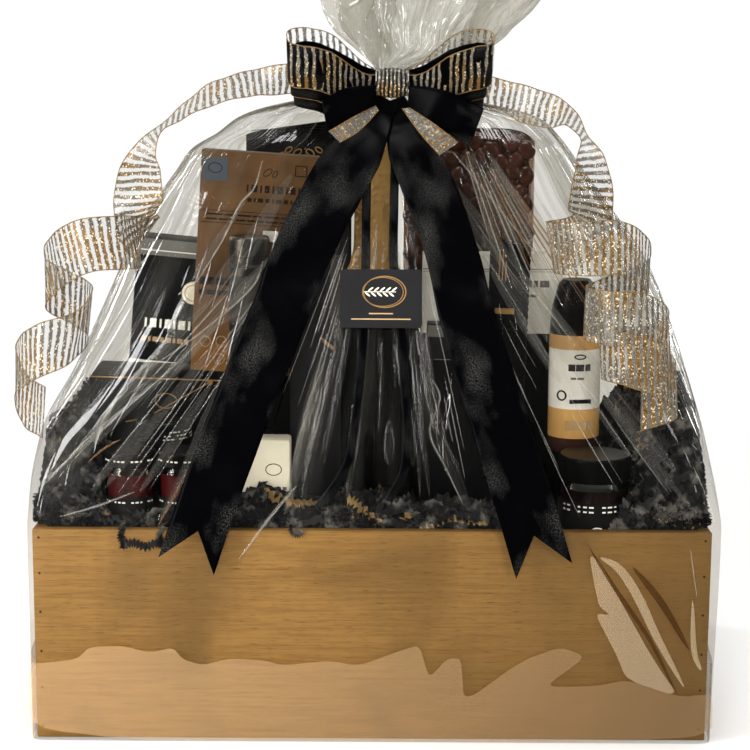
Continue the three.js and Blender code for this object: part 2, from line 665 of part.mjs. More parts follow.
function addBow() {
  const knotHalf = 11.8;
  const knotLeft = bow.knotX - knotHalf;
  const knotRight = bow.knotX + knotHalf;
  const layers = [['striped', stripedRibbon], ['satin', satinRibbon], ['satin_low', satinRibbon]];
  layers.forEach(([kind, material], layer) => {
    const left = loopRows({ startX: knotLeft - GAP, reach: bow.leftReach, layer, side: -1 });
    const right = loopRows({ startX: knotRight + GAP, reach: bow.rightReach, layer, side: 1 });
    addMesh(`loop_${kind}_left`, ribbonGeometry(left), material);
    addMesh(`loop_${kind}_right`, ribbonGeometry(right), material);
  });
  addMesh('bow_knot', knotGeometry(), stripedRibbon, (m) =>
    m.position.set(bow.knotX, bow.knotY, bow.knotZ));
  const tie = [[12.2, 460], [13.6, 460], [13.6, 466], [12.2, 466], [12.2, 460]];
  addMesh('neck_tie', turned(tie, 24), satinRibbon, (m) =>
    m.position.set(film.neckX, film.neckY, 0));

  const full = ribbon.satin;
  const tails = {
    left: [
      [6.6, 451, 5], [-4, 436, 16], [-17, 416, 30], [-32, 387, 40], [-54, 340, full],
      [-64, 312, full], [-83, 264, full], [-101, 217, full], [-117, 172, full], [-125, 148, full],
    ],
    right: [
      [14, 451, 5], [22, 436, 15], [29, 418, 26], [38, 396, 34], [48, 370, 37], [57, 342, 38],
      [66, 305, 39], [79, 264, 40], [95, 214, full], [110, 166, full], [116, 146, full],
    ],
  };
  const narrow = {
    left: [
      [2, 435], [-4, 417], [-5.5, 380], [-5.7, 337], [-7.1, 294], [-8.5, 272], [-12.3, 233],
      [-18, 203.5], [-38, 172],
    ],
    right: [
      [12.4, 435], [14.6, 417], [14.4, 380], [14.3, 337], [20, 289], [22.6, 251], [23.9, 233],
      [21.7, 199], [11, 178],
    ],
  };
  const swallow = { cells: 2, notch: 9, tip: 18 };
  for (const side of ['left', 'right']) {
    const wide = tailRows(tails[side], 20, ribbon.filmClearance, 1.2);
    const thin = tailRows(narrow[side].map(([x, z]) => [x, z, ribbon.narrow]), 16, 2);
    addMesh(`satin_tail_${side}`, ribbonGeometry(wide, swallow), satinRibbon);
    addMesh(`narrow_ribbon_${side}`, ribbonGeometry(thin), satinRibbon);
  }

  const foldLeft = [
    [0, -54, 458, 1, -53, 450], [-21, -66, 455, -17, -64, 440], [-38, -70, 449, -34, -66, 429],
  ];
  const foldRight = [
    [25, -54, 457, 24.5, -53, 450], [45, -66, 456, 35, -66, 437], [66, -70, 452, 55, -70, 429],
    [79, -70, 448, 69, -70, 421],
  ];
  const shortLeft = [
    [1, -57, 449, 3, -58, 446], [-16, -71, 441, -12, -72, 431], [-33, -71, 431, -25, -74, 423.5],
  ];
  const shortRight = [
    [25, -60, 448, 20, -60, 447.5], [43, -77, 437, 34, -77, 429], [60, -80, 424, 47, -80, 415],
  ];
  addMesh('satin_fold_left', ribbonGeometry(edgeRows(foldLeft, 6)), satinRibbon);
  addMesh('satin_fold_right', ribbonGeometry(edgeRows(foldRight, 8)), satinRibbon);
  addMesh('short_tail_left', ribbonGeometry(edgeRows(shortLeft, 6)), stripedRibbon);
  addMesh('short_tail_right', ribbonGeometry(edgeRows(shortRight, 6)), stripedRibbon);
}

// The knot is a ribbon wound into a small barrel, pinched at its sides.
function knotGeometry() {
  const shape = new THREE.Shape();
  const [halfX, halfY, corner] = [11.4, 11, 6];
  shape.moveTo(-halfX + corner, -halfY);
  shape.lineTo(halfX - corner, -halfY);
  shape.quadraticCurveTo(halfX, -halfY, halfX, -halfY + corner);
  shape.lineTo(halfX, halfY - 2);
  shape.lineTo(-halfX, halfY - 2);
  shape.lineTo(-halfX, -halfY + corner);
  shape.quadraticCurveTo(-halfX, -halfY, -halfX + corner, -halfY);
  const geometry = new THREE.ExtrudeGeometry(shape, {
    depth: 18, bevelEnabled: true, bevelThickness: 2.5, bevelSize: -2, bevelSegments: 2, curveSegments: 4,
  });
  geometry.translate(0, 0, -9);
  return joined(geometry);
}

// The wired ribbon that springs off both sides of the bow and corkscrews down over the film.
function addCurls() {
  const left = [
    [-6, -29, 470, -6, -29, 461], [-34, -25, 481, -34, -27, 460],
    [-63, -27, 479, -64, -40, 457], [-102, -38, 471, -96, -72, 455], [-123, -42, 463, -120, -76, 448],
    [-138, -46, 451, -137, -80, 440], [-158, -56, 433, -153, -91, 429], [-173, -66, 421, -155, -96, 414],
    [-184, -76, 402, -152, -99, 404], [-187, -84, 381, -150, -103, 384],
    [-184.5, -85, 358, -157, -87, 373.5], [-178, -73.5, 341.5, -155, -79.5, 368.5],
    [-166.5, -93, 335, -170, -97, 371.5], [-177, -127, 337, -180, -126, 374],
    [-196, -134, 336, -205, -132, 372], [-220, -118, 323, -227, -116, 359],
    [-236, -92, 303, -236, -90, 340], [-220, -84, 292, -218, -84, 329],
    [-203, -112, 285, -200, -110, 322], [-213, -145, 272, -207, -144, 309],
    [-235, -148, 262, -234, -146, 300], [-255, -123, 244, -253, -122, 281], [-250, -118, 224, -247, -118, 261],
    [-232, -142, 219, -229, -142, 255],
  ];
  const right = [
    [31, -29, 470, 31, -29, 461], [62, -24, 475, 60, -29, 457], [94, -28, 468, 91, -42, 447],
    [114, -35, 463, 107, -62, 438], [134, -46, 456, 125, -76, 435], [146, -58, 446, 137, -92, 437],
    [154, -68, 430, 145, -104, 428], [165, -82, 414, 142, -112, 414], [170, -92, 393, 139, -114, 396],
    [170, -94, 370, 137, -112, 380], [164, -92, 347, 142, -100, 375], [146, -96, 338, 138, -96, 372],
    [126, -122, 336, 121, -118, 371], [147, -150, 337, 143, -148, 374], [169, -154, 338, 168, -152, 375],
    [190, -130, 325, 191, -128, 361], [193, -110, 308, 195, -110, 344], [168, -126, 299, 168, -124, 335],
    [146, -142, 293, 148, -138, 328], [162, -168, 291, 162, -163, 328], [187, -166, 290, 187, -162, 326],
    [207, -145, 273, 206, -140, 309], [189, -134, 263, 190, -130, 299], [158, -151, 266, 156, -147, 303],
    [174, -174, 264, 170, -172, 301], [195, -170, 256, 194, -168, 293], [212, -150, 238, 210, -148, 273],
    [187, -150, 228, 187, -146, 262],
  ];
  addMesh('curl_ribbon_left', ribbonGeometry(edgeRows(left, 46)), stripedRibbon);
  addMesh('curl_ribbon_right', ribbonGeometry(edgeRows(right, 46)), stripedRibbon);
}

// The tag is a card with round corners, hung on the narrow ribbons in front of the bottle.
function addTag() {
  const { width, height, corner, thick, leansBack } = tag;
  const shape = new THREE.Shape();
  shape.moveTo(-width / 2 + corner, -height / 2);
  shape.lineTo(width / 2 - corner, -height / 2);
  shape.absarc(width / 2 - corner, -height / 2 + corner, corner, -Math.PI / 2, 0);
  shape.lineTo(width / 2, height / 2 - corner);
  shape.absarc(width / 2 - corner, height / 2 - corner, corner, 0, Math.PI / 2);
  shape.lineTo(-width / 2 + corner, height / 2);
  shape.absarc(-width / 2 + corner, height / 2 - corner, corner, Math.PI / 2, Math.PI);
  shape.lineTo(-width / 2, -height / 2 + corner);
  shape.absarc(-width / 2 + corner, -height / 2 + corner, corner, Math.PI, 1.5 * Math.PI);
  const sheet = { depth: thick, bevelEnabled: false, curveSegments: 4 };
  addMesh('gift_tag', joined(new THREE.ExtrudeGeometry(shape, sheet)), blackCard, (m) => {
    m.position.set(5.3, -117.5, 316);
    m.rotation.x = degrees(90 - leansBack);
  });
}

addMesh('film_wrap', filmGeometry(), clearFilm);
addCrate();
addContents();
addShred();
addBow();
addCurls();
addTag();

export default group;
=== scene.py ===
"""Wine gift basket, dressed for the studio.

A stained crate of crinkled black paper shred and standing food packs, wrapped in one sheet of clear film
that is gathered at the neck and tied with a wired glitter ribbon over black satin. Sizes are in
millimetres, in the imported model's frame: +Z up, the front faces -Y.
"""

import logging
import math
from dataclasses import astuple, dataclass
from enum import Enum
from typing import Any, Sequence

import bmesh
import bpy
import numpy as np
from mathutils import Matrix, Vector


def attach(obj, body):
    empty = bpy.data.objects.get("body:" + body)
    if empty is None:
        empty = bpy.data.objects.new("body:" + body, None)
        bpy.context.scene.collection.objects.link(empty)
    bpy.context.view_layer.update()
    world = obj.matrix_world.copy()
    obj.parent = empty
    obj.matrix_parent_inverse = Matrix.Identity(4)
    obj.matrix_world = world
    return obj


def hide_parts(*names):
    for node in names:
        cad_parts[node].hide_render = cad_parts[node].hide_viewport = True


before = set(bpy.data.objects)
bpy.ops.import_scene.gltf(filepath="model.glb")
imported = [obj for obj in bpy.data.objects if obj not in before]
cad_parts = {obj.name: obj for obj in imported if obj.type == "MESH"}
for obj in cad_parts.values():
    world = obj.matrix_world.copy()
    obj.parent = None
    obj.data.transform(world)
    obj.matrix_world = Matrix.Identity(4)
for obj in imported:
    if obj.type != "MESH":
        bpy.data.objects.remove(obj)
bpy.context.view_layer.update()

log = logging.getLogger("gift_basket")
MM = 0.001
BODY = "root"
BMesh = bmesh.types.BMesh
Node = bpy.types.Node
Tree = bpy.types.NodeTree
Point = tuple[float, float, float]
Line = tuple[tuple[float, ...], ...]


# Small tools


def linear(hex_colour: str) -> tuple[float, float, float, float]:
    """Turn an sRGB hex colour into linear light.

    Args:
        hex_colour: a colour such as "#a07040".

    Returns:
        Red, green, blue and an alpha of 1.
    """
    parts = [int(hex_colour[i : i + 2], 16) / 255 for i in (1, 3, 5)]
    light = [c / 12.92 if c <= 0.04045 else ((c + 0.055) / 1.055) ** 2.4 for c in parts]
    return (light[0], light[1], light[2], 1.0)


def add(tree: Tree, kind: str, inputs: Any = (), **settings: Any) -> Node:
    """Add a node with its settings and links.

    Args:
        tree: the node tree.
        kind: the node's type, without the word ShaderNode.
        inputs: what goes into it, as a dict by name, or as a list in the order in which the node shows
            its inputs. Each is a value, a socket, or a node that gives its first output. A Map Range's
            are the value, from min, from max, to min and to max, and a Mix's are the share, A and B.
        **settings: the node's own properties.

    Returns:
        The node.
    """
    node = tree.nodes.new("ShaderNode" + kind)
    for name, value in settings.items():
        setattr(node, name, value)
    shown = [socket for socket in node.inputs if socket.enabled]
    for key, value in inputs.items() if isinstance(inputs, dict) else enumerate(inputs):
        socket = node.inputs[key] if isinstance(key, str) else shown[key]
        if isinstance(value, Node):
            value = next(output for output in value.outputs if output.enabled)
        if isinstance(value, bpy.types.NodeSocket):
            tree.links.new(value, socket)
        else:
            socket.default_value = value
    return node


def smooth(t: np.ndarray | float) -> np.ndarray:
    """Ease from 0 to 1 as t goes from 0 to 1."""
    c = np.clip(t, 0, 1)
    return c * c * (3 - 2 * c)


def unit(vectors: np.ndarray) -> np.ndarray:
    """Scale vectors, along the last axis, to a length of 1."""
    return vectors / np.maximum(np.linalg.norm(vectors, axis=-1, keepdims=True), 1e-9)


def spline(points: np.ndarray, t: np.ndarray) -> np.ndarray:
    """Follow a centripetal Catmull-Rom curve.

    Args:
        points: the points that it passes through, one a row.
        t: places along it, from 0 to 1, evenly shared among the points.

    Returns:
        One row for each place.
    """
    count = len(points)
    padded = np.vstack([2 * points[:1] - points[1:2], points, 2 * points[-1:] - points[-2:-1]])
    at = np.clip(t, 0, 1) * (count - 1)
    i = np.minimum(at.astype(int), count - 2)
    w = (at - i)[:, None]
    p0, p1, p2, p3 = (padded[i + k] for k in range(4))
    d0, d1, d2 = (
        np.maximum(np.sqrt(np.linalg.norm(b - a, axis=1)), 1e-3)[:, None]
        for a, b in ((p0, p1), (p1, p2), (p2, p3))
    )
    m1 = ((p1 - p0) / d0 - (p2 - p0) / (d0 + d1) + (p2 - p1) / d1) * d1
    m2 = ((p2 - p1) / d1 - (p3 - p1) / (d1 + d2) + (p3 - p2) / d2) * d1
    bend = -3 * p1 + 3 * p2 - 2 * m1 - m2
    twist = 2 * p1 - 2 * p2 + m1 + m2
    return p1 + m1 * w + bend * w**2 + twist * w**3


def placed(x: float, y: float, z: float, angle: float = 0.0, axis: str = "Y") -> Matrix:
    """Place something at a point, turned there about an axis by some degrees."""
    return Matrix.Translation((x, y, z)) @ Matrix.Rotation(math.radians(angle), 4, axis)


def round_at(angle: float, reach: float, z: float) -> Matrix:
    """Place something on a round pack: some degrees round from its front, at a reach and a height."""
    return placed(0, 0, 0, angle, "Z") @ placed(0, -reach, z)


def new_object(name: str, data: bpy.types.ID) -> bpy.types.Object:
    """Put an object with its data into the scene."""
    obj = bpy.data.objects.new(name, data)
    bpy.context.scene.collection.objects.link(obj)
    return obj


# Finishes


@dataclass(frozen=True)
class Finish:
    """A surface finish. Its material is made once and shared by its pieces."""

    name: str

    def material(self) -> bpy.types.Material:
        """Return the finish's material, made on first use."""
        found = bpy.data.materials.get(self.name)
        if found is None:
            found = bpy.data.materials.new(self.name)
            found.use_nodes = True
            found.node_tree.nodes.clear()
            add(found.node_tree, "OutputMaterial", {"Surface": self.shader(found.node_tree)})
        return found

    def shader(self, tree: Tree) -> Node:
        """Build the finish's nodes and return the shader."""
        raise NotImplementedError


class Grain(Enum):
    """The way that a board's grain runs: how often its pattern repeats in a metre along X, Y and Z."""

    ALONG_X = (1.0, 16.0, 26.0)
    ALONG_Y = (16.0, 1.0, 26.0)


@dataclass(frozen=True)
class StainedBirch(Finish):
    """Birch plywood under a golden stain, with painted shade darkening it towards the right: clouds, darker
    streaks and short pores.
    """

    grain: Grain = Grain.ALONG_X
    base: str = "#8f6a34"
    # dull is the clouds' stain colour and also the painted shade towards the right.
    dull: str = "#574220"
    deep: str = "#6a4717"
    pore: str = "#241505"

    def shader(self, tree: Tree) -> Node:
        """Build the wood: clouds 80 mm across, streaks 40 mm long, and pores 11 mm long and 0.7 mm high."""
        where = add(tree, "TexCoord").outputs["Object"]
        along = add(tree, "Mapping", {"Vector": where, "Scale": self.grain.value})
        clouds = add(tree, "TexNoise", {"Vector": where, "Scale": 12.0, "Detail": 5.0, "Distortion": 0.5})
        streaks = add(tree, "TexNoise", {"Vector": along, "Scale": 24.0, "Detail": 6.0, "Roughness": 0.65})
        pores = add(tree, "TexNoise", {"Vector": along, "Scale": 90.0, "Detail": 2.0})
        # Painted shade: from x = -0.05 m to 0.24 m the wood mixes ever more towards the dull colour, darker
        # to the right where less light falls.
        end = add(tree, "MapRange", [add(tree, "SeparateXYZ", [where]), -0.05, 0.24, 0, 0.66])
        colour = add(tree, "Mix", [end, linear(self.base), linear(self.dull)], data_type="RGBA")
        for noise, first, full, most, stain in (
            (clouds, 0.46, 0.7, 0.6, self.dull),
            (streaks, 0.42, 0.7, 0.7, self.deep),
            (pores, 0.6, 0.68, 0.6, self.pore),
        ):
            marked = add(tree, "MapRange", [noise, first, full, 0, most])
            colour = add(tree, "Mix", [marked, colour, linear(stain)], data_type="RGBA")
        bump = add(tree, "Bump", {"Height": marked, "Strength": 0.3, "Distance": 0.0003}, invert=True)
        rough = add(tree, "MapRange", [streaks, 0, 1, 0.4, 0.65])
        return add(tree, "BsdfPrincipled", {"Base Color": colour, "Roughness": rough, "Normal": bump})


@dataclass(frozen=True)
class ClearWrap(Finish):
    """Clear polypropylene film: grey where it doubles, with bright lines and pale bands down its folds, and
    painted shade that greys it towards the right.
    """

    tint: str = "#dcd9d0"
    # shade is the tint's darker colour at the right: painted shade.
    shade: str = "#c6c4bb"
    mirror: float = 1.1
    haze: float = 0.15
    veil: str = "#aeaca2"
    least: float = 0.0
    crinkle: float = 0.3
    bare_below: float = -1.0
    front_share: float = 0.25
    stretch: float = 0.045
    # veil_painted_shade is a darker veil colour towards the right, painted shade; left empty, one veil serves
    # throughout.
    veil_painted_shade: str = ""

    def shader(self, tree: Tree) -> Node:
        """Build thin film. UVs are in metres, around and up, so its creases run with the gathers."""
        coords = add(tree, "TexCoord")
        spot = add(tree, "SeparateXYZ", [coords.outputs["Object"]])
        free = add(tree, "MapRange", [spot.outputs["Z"], self.bare_below, self.bare_below + 0.05])
        flow = add(tree, "Mapping", {"Vector": coords.outputs["UV"], "Scale": (1.0, self.stretch, 1.0)})
        groups = add(tree, "TexNoise", {"Vector": flow, "Scale": 15.0, "Detail": 3.0})
        broad = add(tree, "TexNoise", {"Vector": coords.outputs["Object"], "Scale": 26.0})
        height = add(tree, "Math", [broad, 0.4], operation="MULTIPLY")
        for scale, thin in ((44.0, 0.02), (96.0, 0.035)):
            noise = add(tree, "TexNoise", {"Vector": flow, "Scale": scale, "Detail": 1.0})
            off = add(tree, "Math", [noise, 0.5], operation="SUBTRACT")
            near = add(tree, "Math", [off], operation="ABSOLUTE")
            ridge = add(tree, "MapRange", [near, 0, thin, 1, 0])
            height = add(tree, "Math", [ridge, height], operation="ADD")
        raised = add(tree, "Math", [height, free], operation="MULTIPLY")
        bump = add(tree, "Bump", {"Height": raised, "Strength": self.crinkle, "Distance": 0.0012})
        edge_on = add(tree, "Fresnel", {"IOR": 1.5, "Normal": bump})
        gloss = add(tree, "MapRange", [free, 0, 1, self.mirror * 0.3, self.mirror])
        shine = add(tree, "Math", [edge_on, gloss], operation="MULTIPLY")
        capped = add(tree, "Math", [shine, 0.28], operation="MINIMUM")
        # Painted shade: from x = -0.2 m to 0.2 m the film's tint goes from tint to the darker shade, and its
        # veil darkens the same way.
        side = add(tree, "MapRange", [spot.outputs["X"], -0.2, 0.2])
        grey = add(tree, "Mix", [side, linear(self.tint), linear(self.shade)], data_type="RGBA")
        behind = add(tree, "MapRange", [spot.outputs["Y"], 0, 0.06, self.front_share])
        lines = add(tree, "TexNoise", {"Vector": flow, "Scale": 38.0, "Detail": 3.0})
        streaky = add(tree, "MapRange", [lines, 0.38, 0.62, 0.2, 1.5])
        even = add(tree, "Math", [behind, free], operation="MULTIPLY")
        share = add(tree, "Math", [even, streaky], operation="MULTIPLY", use_clamp=True)
        passed = add(tree, "Mix", [share, linear("#f8f7f4"), grey], data_type="RGBA")
        clear = add(tree, "BsdfTransparent", {"Color": passed})
        glossy = add(tree, "BsdfGlossy", {"Color": linear("#ffffff"), "Roughness": 0.06, "Normal": bump})
        skin = add(tree, "MixShader", [capped, clear, glossy])
        band = add(tree, "MapRange", [groups, 0.52, 0.74, self.least, self.haze])
        clouded = add(tree, "Math", [band, free], operation="MULTIPLY")
        # Painted shade: the veil takes its darker colour towards the right.
        veils = [linear(self.veil), linear(self.veil_painted_shade or self.veil)]
        cloud = add(tree, "Mix", [side, *veils], data_type="RGBA")
        milky = add(tree, "BsdfDiffuse", {"Color": cloud, "Normal": bump})
        return add(tree, "MixShader", [clouded, skin, milky])


@dataclass(frozen=True)
class Coated(Finish):
    """A plain coloured stock: card, lacquer, ink or moulded plastic, with a faint mottle and fine tooth."""

    colour: str = "#202022"
    roughness: float = 0.45
    metallic: float = 0.0
    mottle: float = 0.12
    tooth: float = 0.06
    tooth_mm: float = 0.8
    coat: float = 0.0
    gloss: float = 0.5
    foot: str = ""
    foot_z: tuple[float, float] = (0.0, 1.0)

    def shader(self, tree: Tree) -> Node:
        """Build the stock, its colour and gloss broken up by two sizes of noise."""
        where = add(tree, "TexCoord").outputs["Object"]
        broad = add(tree, "TexNoise", {"Vector": where, "Scale": 45.0, "Detail": 4.0})
        fine = add(tree, "TexNoise", {"Vector": where, "Scale": 1000 / self.tooth_mm, "Detail": 2.0})
        stock: Any = linear(self.colour)
        if self.foot:
            rise = add(tree, "MapRange", [add(tree, "SeparateXYZ", [where]).outputs["Z"], *self.foot_z])
            stock = add(tree, "Mix", [rise, linear(self.foot), stock], data_type="RGBA")
        worn = add(tree, "MapRange", [broad, 0.3, 0.7, 1 - self.mottle, 1])
        colour = add(tree, "Mix", [1, stock, worn], data_type="RGBA", blend_type="MULTIPLY")
        rough = add(tree, "MapRange", [broad, 0, 1, self.roughness * 0.8, min(self.roughness * 1.2, 1.0)])
        bump = add(tree, "Bump", {"Height": fine, "Strength": self.tooth, "Distance": 0.0002})
        look = {"Base Color": colour, "Roughness": rough, "Normal": bump, "Metallic": self.metallic}
        coat = {"Coat Weight": self.coat, "Coat Roughness": 0.08, "Specular IOR Level": self.gloss}
        return add(tree, "BsdfPrincipled", {**look, **coat})


@dataclass(frozen=True)
class Foil(Finish):
    """Metal foil pressed by hand over a form: small flat facets that catch the light one by one."""

    colour: str = "#c59a4a"
    roughness: float = 0.26
    facet_mm: float = 7.0
    depth: float = 0.5
    metallic: float = 1.0

    def shader(self, tree: Tree) -> Node:
        """Build crinkled foil from a cell pattern and a finer crackle."""
        where = add(tree, "TexCoord").outputs["Object"]
        cells = add(tree, "TexVoronoi", {"Vector": where, "Scale": 1000 / self.facet_mm})
        crackle = add(tree, "TexNoise", {"Vector": where, "Scale": 420.0, "Detail": 4.0})
        height = add(tree, "Math", [crackle, 0.5, cells], operation="MULTIPLY_ADD")
        bump = add(tree, "Bump", {"Height": height, "Strength": self.depth, "Distance": 0.0015})
        metal = {"Base Color": linear(self.colour), "Metallic": self.metallic, "Roughness": self.roughness}
        return add(tree, "BsdfPrincipled", {**metal, "Normal": bump})


@dataclass(frozen=True)
class BrushedNickel(Finish):
    """Turned nickel-plated steel: fine rings from the lathe stretch its highlights up and down."""

    colour: str = "#66625a"

    def shader(self, tree: Tree) -> Node:
        """Build the metal with rings 0.4 mm apart up its side."""
        where = add(tree, "TexCoord").outputs["Object"]
        flat = add(tree, "Mapping", {"Vector": where, "Scale": (60.0, 60.0, 2500.0)})
        rings = add(tree, "TexNoise", {"Vector": flat, "Scale": 1.0, "Detail": 3.0})
        rough = add(tree, "MapRange", [rings, 0.3, 0.7, 0.24, 0.42])
        bump = add(tree, "Bump", {"Height": rings, "Strength": 0.2, "Distance": 0.0002})
        metal = {"Base Color": linear(self.colour), "Metallic": 1.0, "Roughness": rough}
        return add(tree, "BsdfPrincipled", {**metal, "Normal": bump})


@dataclass(frozen=True)
class ClearGlass(Finish):
    """Clear pressed glass for the jars, thin enough to show as a bright edge round what fills it."""

    colour: str = "#f2f5f3"

    def shader(self, tree: Tree) -> Node:
        """Build glass that lets light straight through and mirrors at its edges."""
        where = add(tree, "TexCoord").outputs["Object"]
        ripples = add(tree, "TexNoise", {"Vector": where, "Scale": 60.0, "Detail": 2.0})
        bump = add(tree, "Bump", {"Height": ripples, "Strength": 0.08, "Distance": 0.001})
        edge_on = add(tree, "Fresnel", {"IOR": 1.52, "Normal": bump})
        clear = add(tree, "BsdfTransparent", {"Color": linear(self.colour)})
        glossy = add(tree, "BsdfGlossy", {"Color": linear("#ffffff"), "Roughness": 0.04, "Normal": bump})
        return add(tree, "MixShader", [edge_on, clear, glossy])


@dataclass(frozen=True)
class BlackSatin(Finish):
    """Black polyester satin: dead black on the flat, with painted highlights: light specks in soft patches.
    """

    colour: str = "#020203"
    painted_sheen: str = "#787672"

    def shader(self, tree: Tree) -> Node:
        """Build satin. UVs are in metres, across and along; its threads bump it, and painted highlight specks
        0.7 mm across show in soft patches.
        """
        where = add(tree, "TexCoord").outputs["UV"]
        weave = add(tree, "TexNoise", {"Vector": where, "Scale": 1400.0, "Detail": 1.0})
        slubs = add(tree, "TexNoise", {"Vector": where, "Scale": 70.0, "Detail": 3.0})
        along = add(tree, "Mapping", {"Vector": where, "Scale": (1.0, 0.6, 1.0)})
        patches = add(tree, "TexNoise", {"Vector": along, "Scale": 22.0, "Detail": 3.0})
        # Painted highlight: soft noise patches, not real folds, with thread specks in them, mix a light grey
        # into the black.
        folded = add(tree, "MapRange", [patches, 0.49, 0.82])
        thread = add(tree, "MapRange", [weave, 0.5, 0.66])
        painted_sheen = add(tree, "Math", [folded, thread], operation="MULTIPLY")
        colour = add(tree, "Mix", [painted_sheen, linear(self.colour), linear(self.painted_sheen)], data_type="RGBA")
        rough = add(tree, "MapRange", [slubs, 0, 1, 0.24, 0.42])
        bump = add(tree, "Bump", {"Height": weave, "Strength": 0.5, "Distance": 0.0003})
        look = {"Base Color": colour, "Roughness": rough, "Normal": bump}
        return add(tree, "BsdfPrincipled", {**look, "Specular IOR Level": 0.05, "Anisotropic": 0.3})


@dataclass(frozen=True)
class GlitterStripe(Finish):
    """Sheer organza with ragged cross stripes of glued glitter: dusky, gold and silver flakes by turns, and a
    few flakes painted near-white as glints.
    """

    pitch_mm: float = 5.6
    sheer: float = 0.36
    gold: str = "#80612f"
    silver: str = "#645d51"
    dark: str = "#241b14"
    painted_sparkle: str = "#f3e3c2"
    organza: str = "#9b958a"
    bare: float = 0.72

    def shader(self, tree: Tree) -> Node:
        """Build the stripes, by UVs in metres, across and along. The flakes are 0.9 mm across."""
        where = add(tree, "TexCoord").outputs["UV"]
        along = add(tree, "SeparateXYZ", [where]).outputs["Y"]
        wander = add(tree, "TexNoise", {"Vector": where, "Scale": 55.0, "Detail": 3.0})
        shifted = add(tree, "Math", [wander, 0.0045, along], operation="MULTIPLY_ADD")
        phase = add(tree, "Math", [shifted, 2 * math.pi * 1000 / self.pitch_mm], operation="MULTIPLY")
        wave = add(tree, "Math", [phase], operation="SINE")
        grit = add(tree, "TexVoronoi", {"Vector": where, "Scale": 1150.0})
        flake = add(tree, "SeparateColor", [grit.outputs["Color"]])
        zone = add(tree, "TexNoise", {"Vector": where, "Scale": 24.0, "Detail": 2.0})
        uneven = add(tree, "Math", [zone, 1.1, wave], operation="MULTIPLY_ADD")
        ragged = add(tree, "Math", [flake.outputs["Blue"], 0.7, uneven], operation="MULTIPLY_ADD")
        band = add(tree, "MapRange", [ragged, self.bare, self.bare + 0.25])
        golden = add(tree, "MapRange", [zone, 0.45, 0.58])
        dusky = add(tree, "MapRange", [flake.outputs["Red"], 0.5, 0.8, 0, 0.75])
        # Painted highlight: the few flakes picked here are painted near-white, as glints.
        lit = add(tree, "MapRange", [flake.outputs["Green"], 0.88, 0.93])
        colour: Any = linear(self.silver)
        for share, shade in ((golden, self.gold), (dusky, self.dark), (lit, self.painted_sparkle)):
            colour = add(tree, "Mix", [share, colour, linear(shade)], data_type="RGBA")
        colour = add(tree, "Mix", [band, linear(self.organza), colour], data_type="RGBA")
        tilt = add(tree, "Bump", {"Height": flake.outputs["Green"], "Strength": 0.4, "Distance": 0.0006})
        cover = add(tree, "MapRange", [band, 0, 1, self.sheer, 0.96])
        look = {"Base Color": colour, "Metallic": 0.25, "Roughness": 0.32}
        return add(tree, "BsdfPrincipled", {**look, "Normal": tilt, "Alpha": cover})


@dataclass(frozen=True)
class ShredPaper(Finish):
    """Dyed kraft tissue cut for packing: dull and fibrous, paler in patches."""

    colour: str = "#161618"
    pale: str = "#5d5a56"

    def shader(self, tree: Tree) -> Node:
        """Build the paper, pale in patches 12 mm across, with fibres about 1 mm long."""
        where = add(tree, "TexCoord").outputs["Object"]
        fibre = add(tree, "TexNoise", {"Vector": where, "Scale": 900.0, "Detail": 3.0})
        patch = add(tree, "TexNoise", {"Vector": where, "Scale": 80.0, "Detail": 3.0})
        pale_share = add(tree, "MapRange", [patch, 0.52, 0.66])
        colour = add(tree, "Mix", [pale_share, linear(self.colour), linear(self.pale)], data_type="RGBA")
        bump = add(tree, "Bump", {"Height": fibre, "Strength": 0.3, "Distance": 0.0002})
        return add(tree, "BsdfPrincipled", {"Base Color": colour, "Roughness": 0.7, "Normal": bump})


@dataclass(frozen=True)
class PaleFloor(Finish):
    """White paper sweep: plain near the basket, and glowing further off so that no edge of it shows."""

    def shader(self, tree: Tree) -> Node:
        """Build the sweep. Mirrored, it is dim, so that it doesn't fog the film."""
        away = add(tree, "VectorMath", [add(tree, "TexCoord").outputs["Object"]], operation="LENGTH")
        far = add(tree, "MapRange", [away, 0.4, 1.1])
        path = add(tree, "LightPath")
        glow = add(tree, "Math", [far, path.outputs["Is Camera Ray"]], operation="MULTIPLY")
        paper = add(tree, "BsdfDiffuse", {"Color": linear("#f8f7f5")})
        dim = add(tree, "BsdfDiffuse", {"Color": linear("#4c4a47")})
        shown = add(tree, "MixShader", [path.outputs["Is Glossy Ray"], paper, dim])
        lit = add(tree, "Emission", {"Color": linear("#ffffff"), "Strength": 1.02})
        return add(tree, "MixShader", [glow, shown, lit])


BIRCH_LONG = StainedBirch("birch_ply_long", Grain.ALONG_X)
BIRCH_SHORT = StainedBirch("birch_ply_short", Grain.ALONG_Y)
STEEL_NAIL = Coated("blued_steel_nail", "#3a2c1c", 0.4, 0.6)
TENT_FILM = ClearWrap("clear_film_tent", "#e2dfd6", "#cbc9c0", haze=0.07, bare_below=0.15, stretch=0.022)
CROWN_FILM = ClearWrap(
    "clear_film_crown", "#dddbd3", "#d3d1ca", 1.8, 0.56, "#d3d1c7", 0.2, 0.7,
    bare_below=0.15, front_share=1.0, stretch=0.2,
)
SLEEVE_FILM = ClearWrap("clear_film_sleeve", "#eeece6", "#eeece6", 0.8, 0.14)
# Painted highlight: thin raised folds that mirror the lamps, with a heavy milky white veil that paints the
# bright lines of reflected light along the creases.
PAINTED_HIGHLIGHT_FILM = ClearWrap("clear_film_painted_highlight", "#f4f2ee", "#e6e4de", 1.2, 0.85, "#e6e3d9", 0.06, 0.06)
BAND_FILM = ClearWrap("clear_film_band", "#efede7", "#dddbd4", 0.6, 0.22, "#b5b3aa", 0.02, 0.08)
